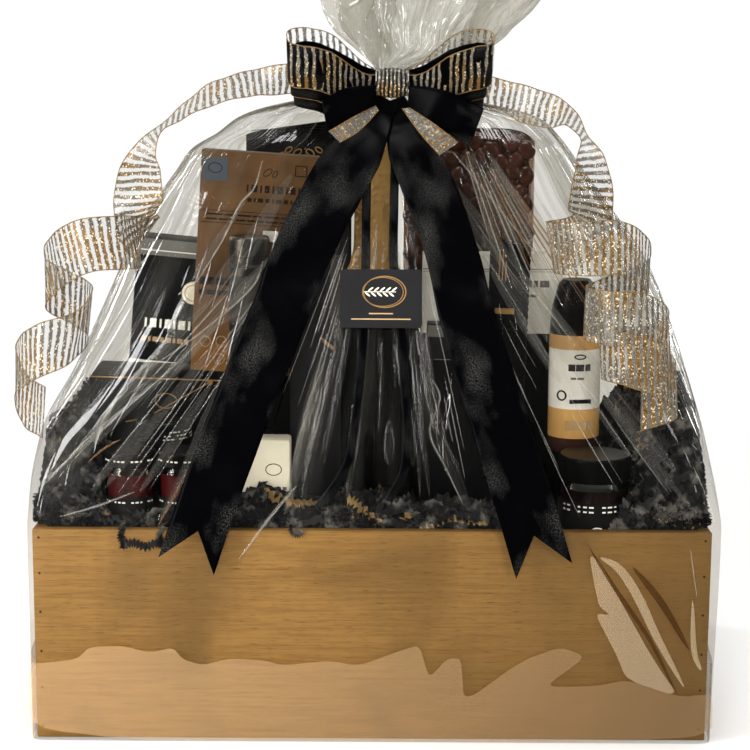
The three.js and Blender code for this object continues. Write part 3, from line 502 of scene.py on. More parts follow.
# The lap's veil is painted darker towards the right, as shade.
LAP_FILM = ClearWrap(
    "clear_film_lap", "#f9f8f5", "#f4f2ee", 0.4, 0.28, "#f0c592", 0.21, crinkle=0.0, veil_painted_shade="#ad8d69",
)
# Fold-over slivers of film; their warm milky veil also paints the light bands that reflections along the
# folds make over the wood.
FOLD_FILM = ClearWrap("clear_film_fold", "#f4f2ee", "#f4f2ee", 0.5, 0.36, "#cdb695", 0.26, crinkle=0.0)
AMBER_FILM = ClearWrap(
    "clear_film_amber", "#9c6a42", "#8a5a36", 0.8, 0.7, "#c08a55", 0.1, crinkle=0.1, front_share=0.9,
)
SWEET_FILM = ClearWrap(
    "brown_tinted_film", "#b59f92", "#9c8478", 1.0, 0.2, "#7a452c", 0.05, crinkle=0.5, front_share=1.0,
)
# Painted shade: brown-tinted strips that darken the wood along the film's creases.
CREASE_FILM = ClearWrap("clear_film_crease", "#a98c70", "#a98c70", 0.6, 0.0, crinkle=0.1, front_share=0.8)
BOTTLE_GLASS = Coated("dark_bottle_glass", "#050605", 0.07, mottle=0.0, tooth=0.0, coat=0.3)
CAPSULE_FOIL = Foil("gold_capsule_foil", "#dcae68", 0.3, 6.0, 0.9, 0.45)
GOLD_INK = Coated("gold_print", "#c0955a", 0.35, 0.5, mottle=0.25)
WHITE_INK = Coated("white_print", "#efece3", 0.55)
GREY_INK = Coated("grey_print", "#6a6864", 0.5)
TAN_INK = Coated("tan_print", "#b59468", 0.5)
BLACK_INK = Coated("black_print", "#0d0d0f", 0.4)
ORANGE_INK = Coated("golden_print", "#cf9f5e", 0.45)
BLUE_GREY_INK = Coated("blue_grey_print", "#47515e", 0.5)
BLACK_BOARD = Coated("black_coated_board", "#0b0b0c", 0.4, mottle=0.2, gloss=0.12)
GREY_BOARD = Coated("charcoal_board", "#1e1e20", 0.42, mottle=0.25, gloss=0.2)
WHITE_BOARD = Coated("uncoated_white_board", "#f1efe8", 0.6)
BROWN_BOARD = Coated(
    "brown_coated_board", "#6c4d2c", 0.42, mottle=0.4, tooth=0.4, tooth_mm=7.0,
    foot="#8f6431", foot_z=(0.255, 0.31),
)
BROWN_DARK = Coated("dark_brown_print", "#221408", 0.42)
SMOKE_INK = Coated("smoke_print", "#34322e", 0.42)
TAN_BOARD = Coated("golden_board", "#986a34", 0.4, 0.2)
CREAM_PAPER = Coated("cream_label_paper", "#ece5d0", 0.7, tooth=0.2)
BLACK_FILM = Coated("black_flow_wrap", "#0a0a0b", 0.28, mottle=0.2, tooth=0.3, tooth_mm=2.5, gloss=0.2)
CARD_BLACK = Coated("black_tag_card", "#171618", 0.55, tooth=0.25, tooth_mm=0.5)
LID_BLACK = Coated("black_lacquered_lid", "#060607", 0.36, gloss=0.25)
MOULDED_BLACK = Coated("moulded_black_plastic", "#101012", 0.35)
JAM = Coated("berry_jam", "#5e1217", 0.35, mottle=0.6, tooth=0.3, tooth_mm=3.0, coat=0.3)
SPREAD = Coated("olive_spread", "#1f0f0d", 0.3, mottle=0.4, tooth=0.4, tooth_mm=2.5)
PEPPER = Coated("pale_filling", "#3d3a35", 0.6, mottle=0.5, tooth=0.6, tooth_mm=1.5)
SAUSAGE = Coated("sausage_casing", "#3c211a", 0.35, mottle=0.5, tooth=0.3, tooth_mm=2.0, coat=0.3)
SWEET = Coated("dark_sweet", "#4a2413", 0.3, mottle=0.6, tooth=0.5, tooth_mm=3.0, coat=0.3)
NICKEL = BrushedNickel("brushed_nickel")
JAR_GLASS = ClearGlass("clear_jar_glass")
SATIN_WEAVE = BlackSatin("black_satin")
GLITTER = GlitterStripe("glitter_organza")
LOOP_GLITTER = GlitterStripe(
    "glitter_organza_over_satin", sheer=0.07, silver="#8a8478", organza="#2c2a28", bare=0.96,
)
KNOT_GLITTER = GlitterStripe(
    "glitter_organza_gathered", 3.0, 0.92, silver="#7d796f", organza="#161515", bare=1.0,
)
GOLD_WIRE = Foil("gold_wire_edge", "#947442", 0.4, 1.2, 0.9, 0.5)
SHRED = ShredPaper("black_tissue_shred")
SHRED_TAN = ShredPaper("tan_tissue_shred", "#6f5936", "#a58a5c")
# A darker copy of the black shred for the sunken core: painted shade for the depth under the strips.
SHRED_SHADED = ShredPaper("black_tissue_shred_shaded", "#0b0b0c", "#1b1b1c")


# Meshes


def surface(points: np.ndarray, uv: np.ndarray | None = None, around: bool = False) -> BMesh:
    """Shape a flat grid into a sheet.

    Args:
        points: where its vertices go, as rows by columns by 3.
        uv: their UVs, as rows by columns by 2, or None for the grid's own.
        around: True if the last column meets the first, so that they are joined.

    Returns:
        The sheet.
    """
    rows, columns = points.shape[0] - 1, points.shape[1] - 1
    bm = bmesh.new()
    layer = bm.loops.layers.uv.new("UVMap")
    bmesh.ops.create_grid(bm, x_segments=columns, y_segments=rows, size=0.5, calc_uvs=True)
    cell: dict[Any, tuple[int, int]] = {}
    for vert in bm.verts:
        i, j = round((vert.co.y + 0.5) * rows), round((vert.co.x + 0.5) * columns)
        cell[vert] = (i, j)
        vert.co = points[i, j]
    if uv is not None:
        for face in bm.faces:
            for loop in face.loops:
                loop[layer].uv = uv[cell[loop.vert]]
    if around:
        bmesh.ops.remove_doubles(bm, verts=bm.verts, dist=1e-4)
    return bm


def lathe(profile: Sequence[tuple[float, float]], segments: int = 48) -> BMesh:
    """Spin a profile of (radius, height) points round Z into a closed form."""
    bm = bmesh.new()
    verts = [bm.verts.new((radius, 0, height)) for radius, height in profile]
    edges = [bm.edges.new(pair) for pair in zip(verts, verts[1:])]
    bmesh.ops.spin(
        bm, geom=verts + edges, cent=(0, 0, 0), axis=(0, 0, 1), angle=2 * math.pi,
        steps=segments, use_merge=True,
    )
    bmesh.ops.remove_doubles(bm, verts=bm.verts, dist=1e-3)
    bmesh.ops.recalc_face_normals(bm, faces=bm.faces)
    return bm


def board(width: float, depth: float, height: float, edge: float = 0.6) -> BMesh:
    """Make a box that stands on Z = 0, with its edges rounded over."""
    bm = bmesh.new()
    bmesh.ops.create_cube(bm, size=1.0)
    bmesh.ops.scale(bm, vec=(width, depth, height), verts=bm.verts)
    bmesh.ops.translate(bm, vec=(0, 0, height / 2), verts=bm.verts)
    bmesh.ops.bevel(
        bm, geom=bm.edges, offset=edge, offset_type="OFFSET", segments=2, profile=0.5,
        affect="EDGES", material=-1,
    )
    return bm


class Shape(Enum):
    """The outline of a printed mark."""

    BAR = 4
    OVAL = 32


def mark(shape: Shape, width: float, height: float, line: float = 0.0, thick: float = 0.3) -> BMesh:
    """Make a printed mark that faces -Y, half sunk in the plane Y = 0.

    Args:
        shape: its outline.
        width: its size along X.
        height: its size along Z.
        line: the width of its line, or 0 for a solid mark.
        thick: how thick it is.

    Returns:
        The mark, centred on the origin.
    """
    bm = bmesh.new()
    bmesh.ops.create_circle(bm, cap_ends=True, segments=shape.value, radius=0.5)
    if shape is Shape.BAR:
        bmesh.ops.rotate(bm, cent=(0, 0, 0), matrix=Matrix.Rotation(math.pi / 4, 3, "Z"), verts=bm.verts)
        bmesh.ops.scale(bm, vec=(math.sqrt(2), math.sqrt(2), 1), verts=bm.verts)
    bmesh.ops.scale(bm, vec=(width, height, 1), verts=bm.verts)
    if line:
        face = bm.faces[:]
        bmesh.ops.inset_region(bm, faces=face, thickness=line, use_even_offset=True, use_boundary=True)
        bmesh.ops.delete(bm, geom=face, context="FACES")
    grown = bmesh.ops.extrude_face_region(bm, geom=bm.faces[:])
    raised = [g for g in grown["geom"] if isinstance(g, bmesh.types.BMVert)]
    bmesh.ops.translate(bm, vec=(0, 0, thick), verts=raised)
    bmesh.ops.translate(bm, vec=(0, 0, -thick / 2), verts=bm.verts)
    bmesh.ops.rotate(bm, cent=(0, 0, 0), matrix=Matrix.Rotation(math.pi / 2, 3, "X"), verts=bm.verts)
    bmesh.ops.recalc_face_normals(bm, faces=bm.faces)
    return bm


@dataclass(frozen=True)
class FilmFold:
    """A fold of film that lies on the wrap's front: its greatest width and its middle line as (x, z)."""

    width: float
    line: Line

    def form(self, clearance: float) -> BMesh:
        """Make the fold as a low ridge that thins out to both ends."""
        t, middle, across = laid_line(self.line, 40)
        half = self.width / 2 * np.sqrt(np.sin(math.pi * np.clip(t, 0.004, 0.996)))
        columns = []
        for side, lift in ((-1, 0.0), (0, min(self.width * 0.2, 0.6)), (1, 0.0)):
            q = middle + across * (side * half)[:, None]
            q[:, 1] = wrap_front(q[:, 0], q[:, 2]) - clearance - lift
            columns.append(q)
        return surface(np.stack(columns, axis=1))


class Piece:
    """One visible piece. It gathers parts in millimetres, each with its finish, and ends as an object."""

    def __init__(self, name: str, slot: str, *nodes: str) -> None:
        """Start a piece that keeps a slot name and stands for some nodes of the model."""
        self.name = name
        self.slot = slot
        self.nodes = nodes
        self.bm = bmesh.new()
        self.bm.loops.layers.uv.new("UVMap")
        self.finishes: list[Finish] = []

    def add(self, part: BMesh, finish: Finish, place: Matrix = Matrix()) -> "Piece":
        """Put a part into the piece.

        Args:
            part: the part, which is used up.
            finish: its finish.
            place: where it goes.

        Returns:
            The piece itself.
        """
        if finish not in self.finishes:
            self.finishes.append(finish)
        index = self.finishes.index(finish)
        for face in part.faces:
            face.material_index = index
        bmesh.ops.transform(part, matrix=place, verts=part.verts)
        carrier = bpy.data.meshes.new("carrier")
        part.to_mesh(carrier)
        part.free()
        self.bm.from_mesh(carrier)
        bpy.data.meshes.remove(carrier)
        return self

    def done(self, sharp: float = 38.0, solidify: float = 0.0) -> bpy.types.Object:
        """Make the object.

        Args:
            sharp: edges that turn more than this many degrees stay crisp.
            solidify: a thickness in mm for a sheet, or 0.

        Returns:
            The finished object, riding on the basket.
        """
        limit = math.radians(sharp)
        for edge in self.bm.edges:
            edge.smooth = edge.calc_face_angle(0.0) < limit
        for face in self.bm.faces:
            face.smooth = True
        bmesh.ops.scale(self.bm, vec=(MM, MM, MM), verts=self.bm.verts)
        mesh = bpy.data.meshes.new(self.name)
        self.bm.to_mesh(mesh)
        self.bm.free()
        obj = new_object(self.name, mesh)
        for finish in self.finishes:
            mesh.materials.append(finish.material())
        if solidify:
            wall = obj.modifiers.new("thickness", "SOLIDIFY")
            wall.thickness = solidify * MM
            wall.offset = 0.0
        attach(obj, BODY)
        if self.nodes:
            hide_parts(*self.nodes)
        log.info("%s: %d faces", self.name, len(mesh.polygons))
        return obj


# The crate


@dataclass(frozen=True)
class Crate:
    """Butt-jointed plywood crate, the long boards nailed over the ends of the short ones."""

    width: float = 480.0
    depth: float = 300.0
    top: float = 155.0
    base: float = 0.9
    thick: float = 9.0
    floor: float = 6.0
    gap: float = 0.3
    edge: float = 0.9
    floor_edge: float = 0.5
    nail_heights: tuple[float, ...] = (149.0, 123.0, 94.6, 65.5, 38.6, 9.5)
    nail_radius: float = 0.9

    def build(self) -> None:
        """Make the boards and the nails."""
        tall = self.top - self.base
        wide, deep = (size - 2 * self.thick - 2 * self.gap for size in (self.width, self.depth))
        long_board = (self.width, self.thick, tall, self.edge), BIRCH_LONG
        short_board = (self.thick, deep, tall, self.edge), BIRCH_SHORT
        floor_board = (wide, deep, self.floor, self.floor_edge), BIRCH_LONG
        x, y = (self.width - self.thick) / 2, (self.depth - self.thick) / 2
        for name, (size, finish), at in (
            ("front", long_board, (0, -y)), ("back", long_board, (0, y)),
            ("left", short_board, (-x, 0)), ("right", short_board, (x, 0)), ("floor", floor_board, (0, 0)),
        ):
            piece = Piece(f"crate_{name}_board", "pine", f"crate_{name}")
            piece.add(board(*size), finish, placed(*at, self.base)).done()
        self.nails()

    def nails(self) -> None:
        """Drive a row of nails into both ends of the front and the back."""
        r = self.nail_radius
        head = [(0, 0), (r, 0), (r, 0.15), (r * 0.6, 0.3), (0, 0.32)]
        x, y = (self.width - self.thick) / 2, self.depth / 2 - 0.1
        piece = Piece("crate_nails", "pine")
        for face in (-1, 1):
            for side in (-1, 1):
                for height in self.nail_heights:
                    place = placed(side * x, face * y, height, -90 * face, "X")
                    piece.add(lathe(head, 12), STEEL_NAIL, place)
        piece.done()


# The film


@dataclass(frozen=True)
class Level:
    """One level of the wrap: its reach each way, how square it is and how deep its folds go."""

    z: float
    left: float
    right: float
    front: float
    back: float
    square: float
    fold: float = 0.0


WRAP = tuple(Level(*row) for row in (
    (0, -243.7, 244, -153.7, 153.7, 60),
    (152, -244, 247, -154, 154, 60),
    (168, -244, 246.5, -153.5, 153.5, 34),
    (196, -243, 243, -151, 150, 16),
    (225, -238, 239, -144.5, 146, 9),
    (255, -222, 232, -135, 141, 6.5),
    (285, -209, 224, -125, 135, 5),
    (316, -196, 214, -113, 127, 4.2),
    (345, -184.5, 200, -100, 119, 3.8),
    (372, -169, 180, -88, 111, 3.8),
    (398, -150, 160, -75, 104, 4.6),
    (415, -138, 148, -65, 99, 4.8),
    (426, -120, 140, -58, 94, 4.2),
    (438, -104, 127, -47, 88, 3.6),
    (448, -74, 92, -37, 66, 3, 0.05),
    (455, -32, 52, -28, 26, 2.3, 0.14),
    (459, 1, 24, -25.5, -2.5, 2, 0.2),
    (467, 1, 24, -25.5, -2.5, 2, 0.2),
    (476, -2, 30, -26, 4, 2, 0.26),
    (490, -18, 86, -30, 20, 2.2, 0.4),
    (507, -38, 112, -34, 34, 2.2, 0.48),
    (526, -46, 132, -37, 47, 2.2, 0.5),
    (576, -50, 158, -41, 66, 2.2, 0.5),
))
WRAP_ROWS = np.array([astuple(level) for level in WRAP])
NECK_LEVEL = 17
NECK_Z = WRAP[NECK_LEVEL].z


def wrap_front(x: np.ndarray, z: np.ndarray) -> np.ndarray:
    """Find how far forward the wrap's front is.

    Args:
        x: places across.
        z: heights.

    Returns:
        The Y of the wrap's front at each.
    """
    left, right, front, back, square = (np.interp(z, WRAP_ROWS[:, 0], WRAP_ROWS[:, k]) for k in range(1, 6))
    across = np.minimum(np.abs((x - (left + right) / 2) / ((right - left) / 2)), 0.98)
    return (front + back) / 2 - (back - front) / 2 * (1 - across**square) ** (1 / square)


def laid_line(line: Sequence[Sequence[float]], steps: int) -> tuple[np.ndarray, np.ndarray, np.ndarray]:
    """Follow a line that is drawn on the wrap's front.

    Args:
        line: its points, each starting with x and z.
        steps: how many steps to take.

    Returns:
        Places along it from 0 to 1, and at each its point and the direction across it, in the plane Y = 0.
    """
    table = np.array(line, dtype=float)
    t = np.linspace(0, 1, steps + 1)
    middle = spline(np.column_stack([table[:, 0], 0 * table[:, 0], table[:, 1]]), t)
    along = unit(np.gradient(middle, axis=0))
    return t, middle, np.column_stack([-along[:, 2], 0 * t, along[:, 0]])


def saw(turns: np.ndarray) -> np.ndarray:
    """Zig-zag from 1 to 0 and back, once for each whole turn."""
    return np.abs(2 * (turns % 1) - 1)


@dataclass(frozen=True)
class FilmWrap:
    """The one sheet of clear film: a tent over the packs, a tied neck and a flared crown above it."""

    columns: int = 840
    tent_steps: tuple[int, ...] = (8, 4, 5, 6, 6, 6, 6, 6, 6, 7, 6, 5, 6, 7, 8, 5, 4)
    crown_steps: tuple[int, ...] = (10, 14, 16, 18, 26)
    creases: int = 70
    neck_pleats: int = 24
    pleat_depth: float = 0.34
    crown_pleats: int = 9
    ruffle: float = 9.0
    tent_seed: int = 11
    crown_seed: int = 23
    lap_seed: int = 5
    fold_seed: int = 77
    crease_reaches: tuple[float, ...] = (160.0, 200.0, 260.0, 330.0)
    crease_odds: tuple[float, ...] = (0.25, 0.3, 0.25, 0.2)
    streaks: int = 130
    neck_at: tuple[float, float] = (12.0, 447.0)
    folds: tuple[tuple[Finish, float, Line], ...] = (
        (PAINTED_HIGHLIGHT_FILM, 1.5, ((-79, 340), (-84, 326), (-119, 294), (-179, 253))),
        (PAINTED_HIGHLIGHT_FILM, 1.3, ((-119, 290), (-136, 273), (-178, 236), (-220, 199))),
        (PAINTED_HIGHLIGHT_FILM, 1.6, ((-220, 165), (-193, 173), (-167, 183))),
        (AMBER_FILM, 1.8, ((-151, 158), (-137, 184), (-123, 210))),
        (AMBER_FILM, 1.4, ((-200, 203), (-188, 213), (-177, 219))),
        (PAINTED_HIGHLIGHT_FILM, 1.6, ((-81, 410), (-87, 390), (-96, 380), (-108, 355), (-127, 324))),
        (PAINTED_HIGHLIGHT_FILM, 1.6, ((56, 418), (91, 376), (126, 334))),
        (PAINTED_HIGHLIGHT_FILM, 1.8, ((105, 329), (119, 314), (143, 284))),
        (PAINTED_HIGHLIGHT_FILM, 1.6, ((-156, 257), (-180, 236), (-202, 217), (-217, 201), (-233, 189))),
        (BAND_FILM, 7.0, ((-106, 260), (-118, 233), (-128, 206), (-141, 178), (-150, 163))),
        (BAND_FILM, 16.0, ((-60, 400), (-96, 340), (-140, 285), (-196, 226))),
        (BAND_FILM, 6.0, ((-93, 381), (-118, 344), (-143, 291), (-170, 243))),
        (BAND_FILM, 9.0, ((-73, 344), (-108, 305), (-139, 268), (-171, 250))),
        (BAND_FILM, 5.0, ((-82, 314), (-125, 286), (-153, 254))),
        (BAND_FILM, 7.0, ((-115, 314), (-160, 268), (-202, 215), (-230, 187))),
        (BAND_FILM, 5.0, ((-143, 266), (-197, 215), (-221, 191))),
        (BAND_FILM, 20.0, ((50, 400), (92, 340), (150, 270), (212, 200))),
        (PAINTED_HIGHLIGHT_FILM, 1.6, ((36, 268), (47, 250), (40, 226), (52, 200), (64, 175))),
        (SLEEVE_FILM, 12.0, ((34, 262), (40, 232), (56, 200), (68, 172))),
        (PAINTED_HIGHLIGHT_FILM, 2.4, ((-53, 188), (-70, 168), (-94, 135))),
        (FOLD_FILM, 6.5, ((161, 138), (173, 131), (185, 115), (203, 79), (223, 43))),
        (FOLD_FILM, 4.0, ((227, 107), (230, 67), (235, 55))),
        (CREASE_FILM, 3.0, ((151, 148), (170, 118), (196, 80), (219, 36))),
        (CREASE_FILM, 5.0, ((184, 131), (205, 105), (226, 70))),
        (PAINTED_HIGHLIGHT_FILM, 1.0, ((224, 145), (230, 109))),
    )
    lap_edge: Line = (
        (-244, 57), (-233, 58), (-209, 61), (-201, 70), (-177, 71), (-158, 66), (-141, 70), (-134, 61),
        (-120, 57), (-102, 62), (-77, 61), (-63, 57), (-30, 61), (-9, 57), (19, 68), (34, 73), (41, 48),
        (54, 63), (64, 63), (66, 30), (106, 61), (134, 72), (153, 65), (123, 42), (161, 43), (182, 48),
        (220, 35), (244, 38),
    )
    wedge: Line = (
        (153, 140), (157, 119), (161, 102), (169, 96), (158, 97), (174, 67), (182, 48), (220, 35), (200, 64),
        (180, 99), (159, 136),
    )
    front: float = -154.2
    fan: int = 32
    fan_ends: tuple[Line, Line] = (((60, 432), (84, 416)), ((94, 318), (168, 300)))

    def build(self) -> None:
        """Make the tent, the crown, the folds on the front and the lap of film folded up round the crate."""
        self.tent()
        self.crown()
        self.lap()
        self.front_folds()

    def rings(self, steps: Sequence[int], first: int) -> tuple[np.ndarray, np.ndarray, np.ndarray]:
        """Sample the wrap's outline.

        Args:
            steps: how many rows go between one level and the next.
            first: the level to start at.

        Returns:
            The rows of level numbers, the angles, and each vertex's place round the sheet from 0 to 1.
        """
        marks = [first + np.arange(n) / n + k for k, n in enumerate(steps)]
        at = np.append(np.concatenate(marks), first + len(steps))
        rows = spline(WRAP_ROWS, at / (len(WRAP_ROWS) - 1))
        turn = np.linspace(0, 1, self.columns + 1)
        return rows, math.pi / 4 + 2 * math.pi * turn, turn

    def outline(self, rows: np.ndarray, angles: np.ndarray, reach: np.ndarray) -> np.ndarray:
        """Place the vertices on squared ellipses, drawn in by reach."""
        z, left, right, front, back, square = (rows[:, k : k + 1] for k in range(6))
        c, s = np.cos(angles)[None], np.sin(angles)[None]
        out = (np.abs(c) ** square + np.abs(s) ** square) ** (-1 / square) * reach
        x = (left + right) / 2 + c * out * (right - left) / 2
        y = (front + back) / 2 + s * out * (back - front) / 2
        return np.stack([x, y, np.broadcast_to(z, x.shape)], axis=2)

    def lengths(self, points: np.ndarray) -> np.ndarray:
        """Return UVs in metres: the way round the sheet, and the way up it."""
        rise = np.linalg.norm(np.diff(points, axis=0), axis=2).mean(axis=1)
        up = np.concatenate([[0], np.cumsum(rise)]) * MM
        around = np.linspace(0, 1.5, points.shape[1])
        return np.stack(np.meshgrid(around, up), axis=2)

    def normals(self, points: np.ndarray) -> np.ndarray:
        """Return the outward direction at each vertex of a closed ring of columns."""
        ring = np.concatenate([points[:, -2:-1], points, points[:, 1:2]], axis=1)
        return unit(np.cross(ring[:, 2:] - ring[:, :-2], np.gradient(points, axis=0)))

    def tent(self) -> None:
        """Make the tent, creased by straight folds that run from the neck down to the crate."""
        rows, angles, turn = self.rings(self.tent_steps, 0)
        z = rows[:, :1]
        depth = self.pleat_depth * smooth((z - 436) / 22)
        points = self.outline(rows, angles, 1 - depth * saw(turn * self.neck_pleats)[None])
        half_wide = (rows[:, 2:3] - rows[:, 1:2]) / 2
        rng = np.random.default_rng(self.tent_seed)
        dent = np.zeros(points.shape[:2])
        for _ in range(self.creases):
            centre = rng.random()
            width = rng.uniform(0.002, 0.007)
            deep = rng.uniform(0.5, 1.5)
            foot = rng.choice(self.crease_reaches, p=self.crease_odds)
            drift = rng.uniform(-0.035, 0.035)
            away = (turn[None] - centre - drift * (1 - z / 460) + 0.5) % 1 - 0.5
            lean = rng.uniform(0.2, 0.8)
            side = np.where(away < 0, -away / (width * lean), away / (width * (1 - lean)))
            dent += deep * np.clip(1 - side, 0, 1) * smooth((z - foot) / 60)
        shallow = np.minimum(1, half_wide / 120) * smooth((z - 150) / 60)
        points = points - self.normals(points) * (np.minimum(dent, 4.0) * shallow)[..., None]
        points[0, :, 2] = 0.0
        bm = surface(points, self.lengths(points), around=True)
        under = [edge for edge in bm.edges if edge.is_boundary and max(v.co.z for v in edge.verts) < 1]
        bmesh.ops.edgeloop_fill(bm, edges=under)
        piece = Piece("film_tent", "clear_film", "film_wrap")
        piece.add(bm, TENT_FILM).done(sharp=24)

    def crown(self) -> None:
        """Make the crown: the gathered film fans out over the bow in deep folds."""
        rows, angles, turn = self.rings(self.crown_steps, NECK_LEVEL)
        z = rows[:, :1]
        above = z - NECK_Z
        lift = smooth(above / 60)
        rng = np.random.default_rng(self.crown_seed)
        wander = 0.012 * np.sin(2 * math.pi * (3 * turn[None] + above / 90))
        main = 0.5 - 0.5 * np.cos(2 * math.pi * self.crown_pleats * (turn[None] + wander * lift))
        fold = rows[:, 6:7] * main
        fold = fold + self.pleat_depth * (1 - smooth(above / 14)) * saw(turn * self.neck_pleats)[None]
        for count, deep in ((23, 0.09), (41, 0.05), (67, 0.03)):
            phase = rng.random()
            slide = rng.uniform(-0.02, 0.02) * lift
            fold = fold + deep * saw((turn[None] + slide) * count + phase) * (0.35 + 0.65 * lift)
        points = self.outline(rows, angles, 1 - np.clip(fold, 0, 0.86))
        sway = self.ruffle * np.sin(3 * angles) * np.cos(angles)
        tear = 2.5 * np.sin(41 * angles + 1.3) * np.sin(7 * angles)
        top = smooth((z - 520) / 56)
        points[..., 2] += top * (sway + tear)[None] * 0.9
        bm = surface(points, self.lengths(points), around=True)
        Piece("film_crown", "clear_film").add(bm, CROWN_FILM).done(sharp=24)

    def lap(self) -> None:
        """Make the lap: the film's lower edge, turned up round the crate, with a wavy free edge."""
        turn = np.linspace(0.75, 1.5, 301)
        off, low_edge, usual = 0.35, 0.4, 60.0
        angles = math.pi / 4 + 2 * math.pi * turn
        rng = np.random.default_rng(self.lap_seed)
        edge = np.full(turn.shape, usual)
        for waves in (3, 5, 8, 13, 21):
            edge += rng.uniform(1.5, 4.5) * np.sin(2 * math.pi * (waves * turn + rng.random()))
        rise = np.linspace(0, 1, 9)[:, None]
        low = WRAP_ROWS[0].copy()
        low[1:5] += np.array([-off, off, -off, off])
        rows = np.repeat(low[None], len(rise), axis=0)
        points = self.outline(rows, angles, np.ones((1, turn.size)))
        points[..., 2] = low_edge + rise * edge[None]
        piece = Piece("film_lap", "clear_film")
        piece.add(surface(points), LAP_FILM)
        piece.add(self.flap(((-244, low_edge), *self.lap_edge, (244, low_edge)), 0.0), LAP_FILM)
        # The wedge of fold-overs, its veil painting the light bands of reflection.
        piece.add(self.flap(self.wedge, 0.3), FOLD_FILM)
        piece.done()

    def flap(self, outline: Sequence[tuple[float, float]], out: float) -> BMesh:
        """Cut a flat piece of film against the front, to an outline in x and z, its corners rounded."""
        line = np.array(outline)
        for _ in range(3):
            after = np.roll(line, -1, axis=0)
            line = np.stack([0.84 * line + 0.16 * after, 0.16 * line + 0.84 * after], axis=1).reshape(-1, 2)
        bm = bmesh.new()
        verts = [bm.verts.new((x, self.front - out, z)) for x, z in line]
        edges = [bm.edges.new(pair) for pair in zip(verts, verts[1:] + verts[:1])]
        bmesh.ops.contextual_create(bm, geom=edges)
        bmesh.ops.triangulate(bm, faces=bm.faces[:])
        return bm

    def front_folds(self) -> None:
        """Lay folds on the front: the placed ones, and thin ones that run straight out from the neck, most of
        these with painted highlights.
        """
        piece = Piece("film_folds", "clear_film")
        for finish, width, line in self.folds:
            piece.add(FilmFold(width, line).form(0.5), finish)
        rng = np.random.default_rng(self.fold_seed)
        for k in range(self.fan):
            share = (k + rng.uniform(-0.3, 0.3)) / self.fan
            top, foot = (np.array(ends[0]) + (np.array(ends[1]) - ends[0]) * share for ends in self.fan_ends)
            start, end = rng.uniform(0, 0.3), rng.uniform(0.6, 1.0)
            line = tuple(tuple(top + (foot - top) * at) for at in (start, (start + end) / 2, end))
            finish = (PAINTED_HIGHLIGHT_FILM, AMBER_FILM, BAND_FILM)[k % 3]
            width = rng.uniform(0.5, 1.6) * (4.0 if finish is BAND_FILM else 1.0)
            piece.add(FilmFold(width, line).form(0.7 + 0.01 * k), finish)
        neck = np.array(self.neck_at)
        for k in range(self.streaks):
            foot = np.array([rng.uniform(-232, 232), rng.uniform(158, 190)])
            start = rng.uniform(0.25, 0.8)
            end = min(start + rng.uniform(0.1, 0.45), 0.97)
            bend = rng.uniform(-0.7, 0.7)
            line = []
            for share, off in ((start, 0.0), ((start + end) / 2, bend), (end, 0.0)):
                x, z = neck + (foot - neck) * share
                line.append((x + off, z))
            middle = abs(foot[0]) < 60
            thin = k % 4 and not middle
            # Thin folds take the film with painted highlights.
            finish = PAINTED_HIGHLIGHT_FILM if thin else SLEEVE_FILM if middle else BAND_FILM
            width = rng.uniform(0.3, 1.0) if thin else rng.uniform(3.0, 9.0)
            piece.add(FilmFold(width, tuple(line)).form(0.4 + 0.002 * k), finish)
        piece.done(sharp=80)


# What stands in the shred


@dataclass(frozen=True)
class Mark:
    """A printed shape on a pack's front: its middle and size, in mm from the middle of the front's foot."""

    finish: Finish
    x: float
    z: float
    width: float
    height: float
    shape: Shape = Shape.BAR
    line: float = 0.0
    turn: float = 0.0


@dataclass(frozen=True)
class Pack:
    """A folded carton or bar that stands in the shred, with what is printed on its front."""

    node: str
    width: float
    depth: float
    height: float
    x: float
    y: float
    z: float
    finish: Finish
    slot: str
    tilt: float = 0.0
    edge: float = 0.7
    marks: tuple[Mark, ...] = ()

    def build(self) -> None:
        """Make the carton and its print."""
        piece = Piece(f"{self.node}_pack", self.slot, self.node)
        place = placed(self.x, self.y, self.z, self.tilt)
        piece.add(board(self.width, self.depth, self.height, self.edge), self.finish, place)
        front = -self.depth / 2
        for k, item in enumerate(self.marks):
            at = placed(item.x, front - 0.02 * k, item.z, item.turn)
            piece.add(mark(item.shape, item.width, item.height, item.line), item.finish, place @ at)
        piece.done()


def bars(
    finish: Finish, x: float, z: float, widths: Sequence[float], height: float, gap: float
) -> tuple[Mark, ...]:
    """Make a row of short bars that stand where a line of print goes.

    Args:
        finish: the ink.
        x: the left end of the row.
        z: its middle height.
        widths: the bars' widths.
        height: their height.
        gap: the space between two.

    Returns:
        One mark for each bar.
    """
    made = []
    for width in widths:
        made.append(Mark(finish, x + width / 2, z, width, height))
        x += width + gap
    return tuple(made)


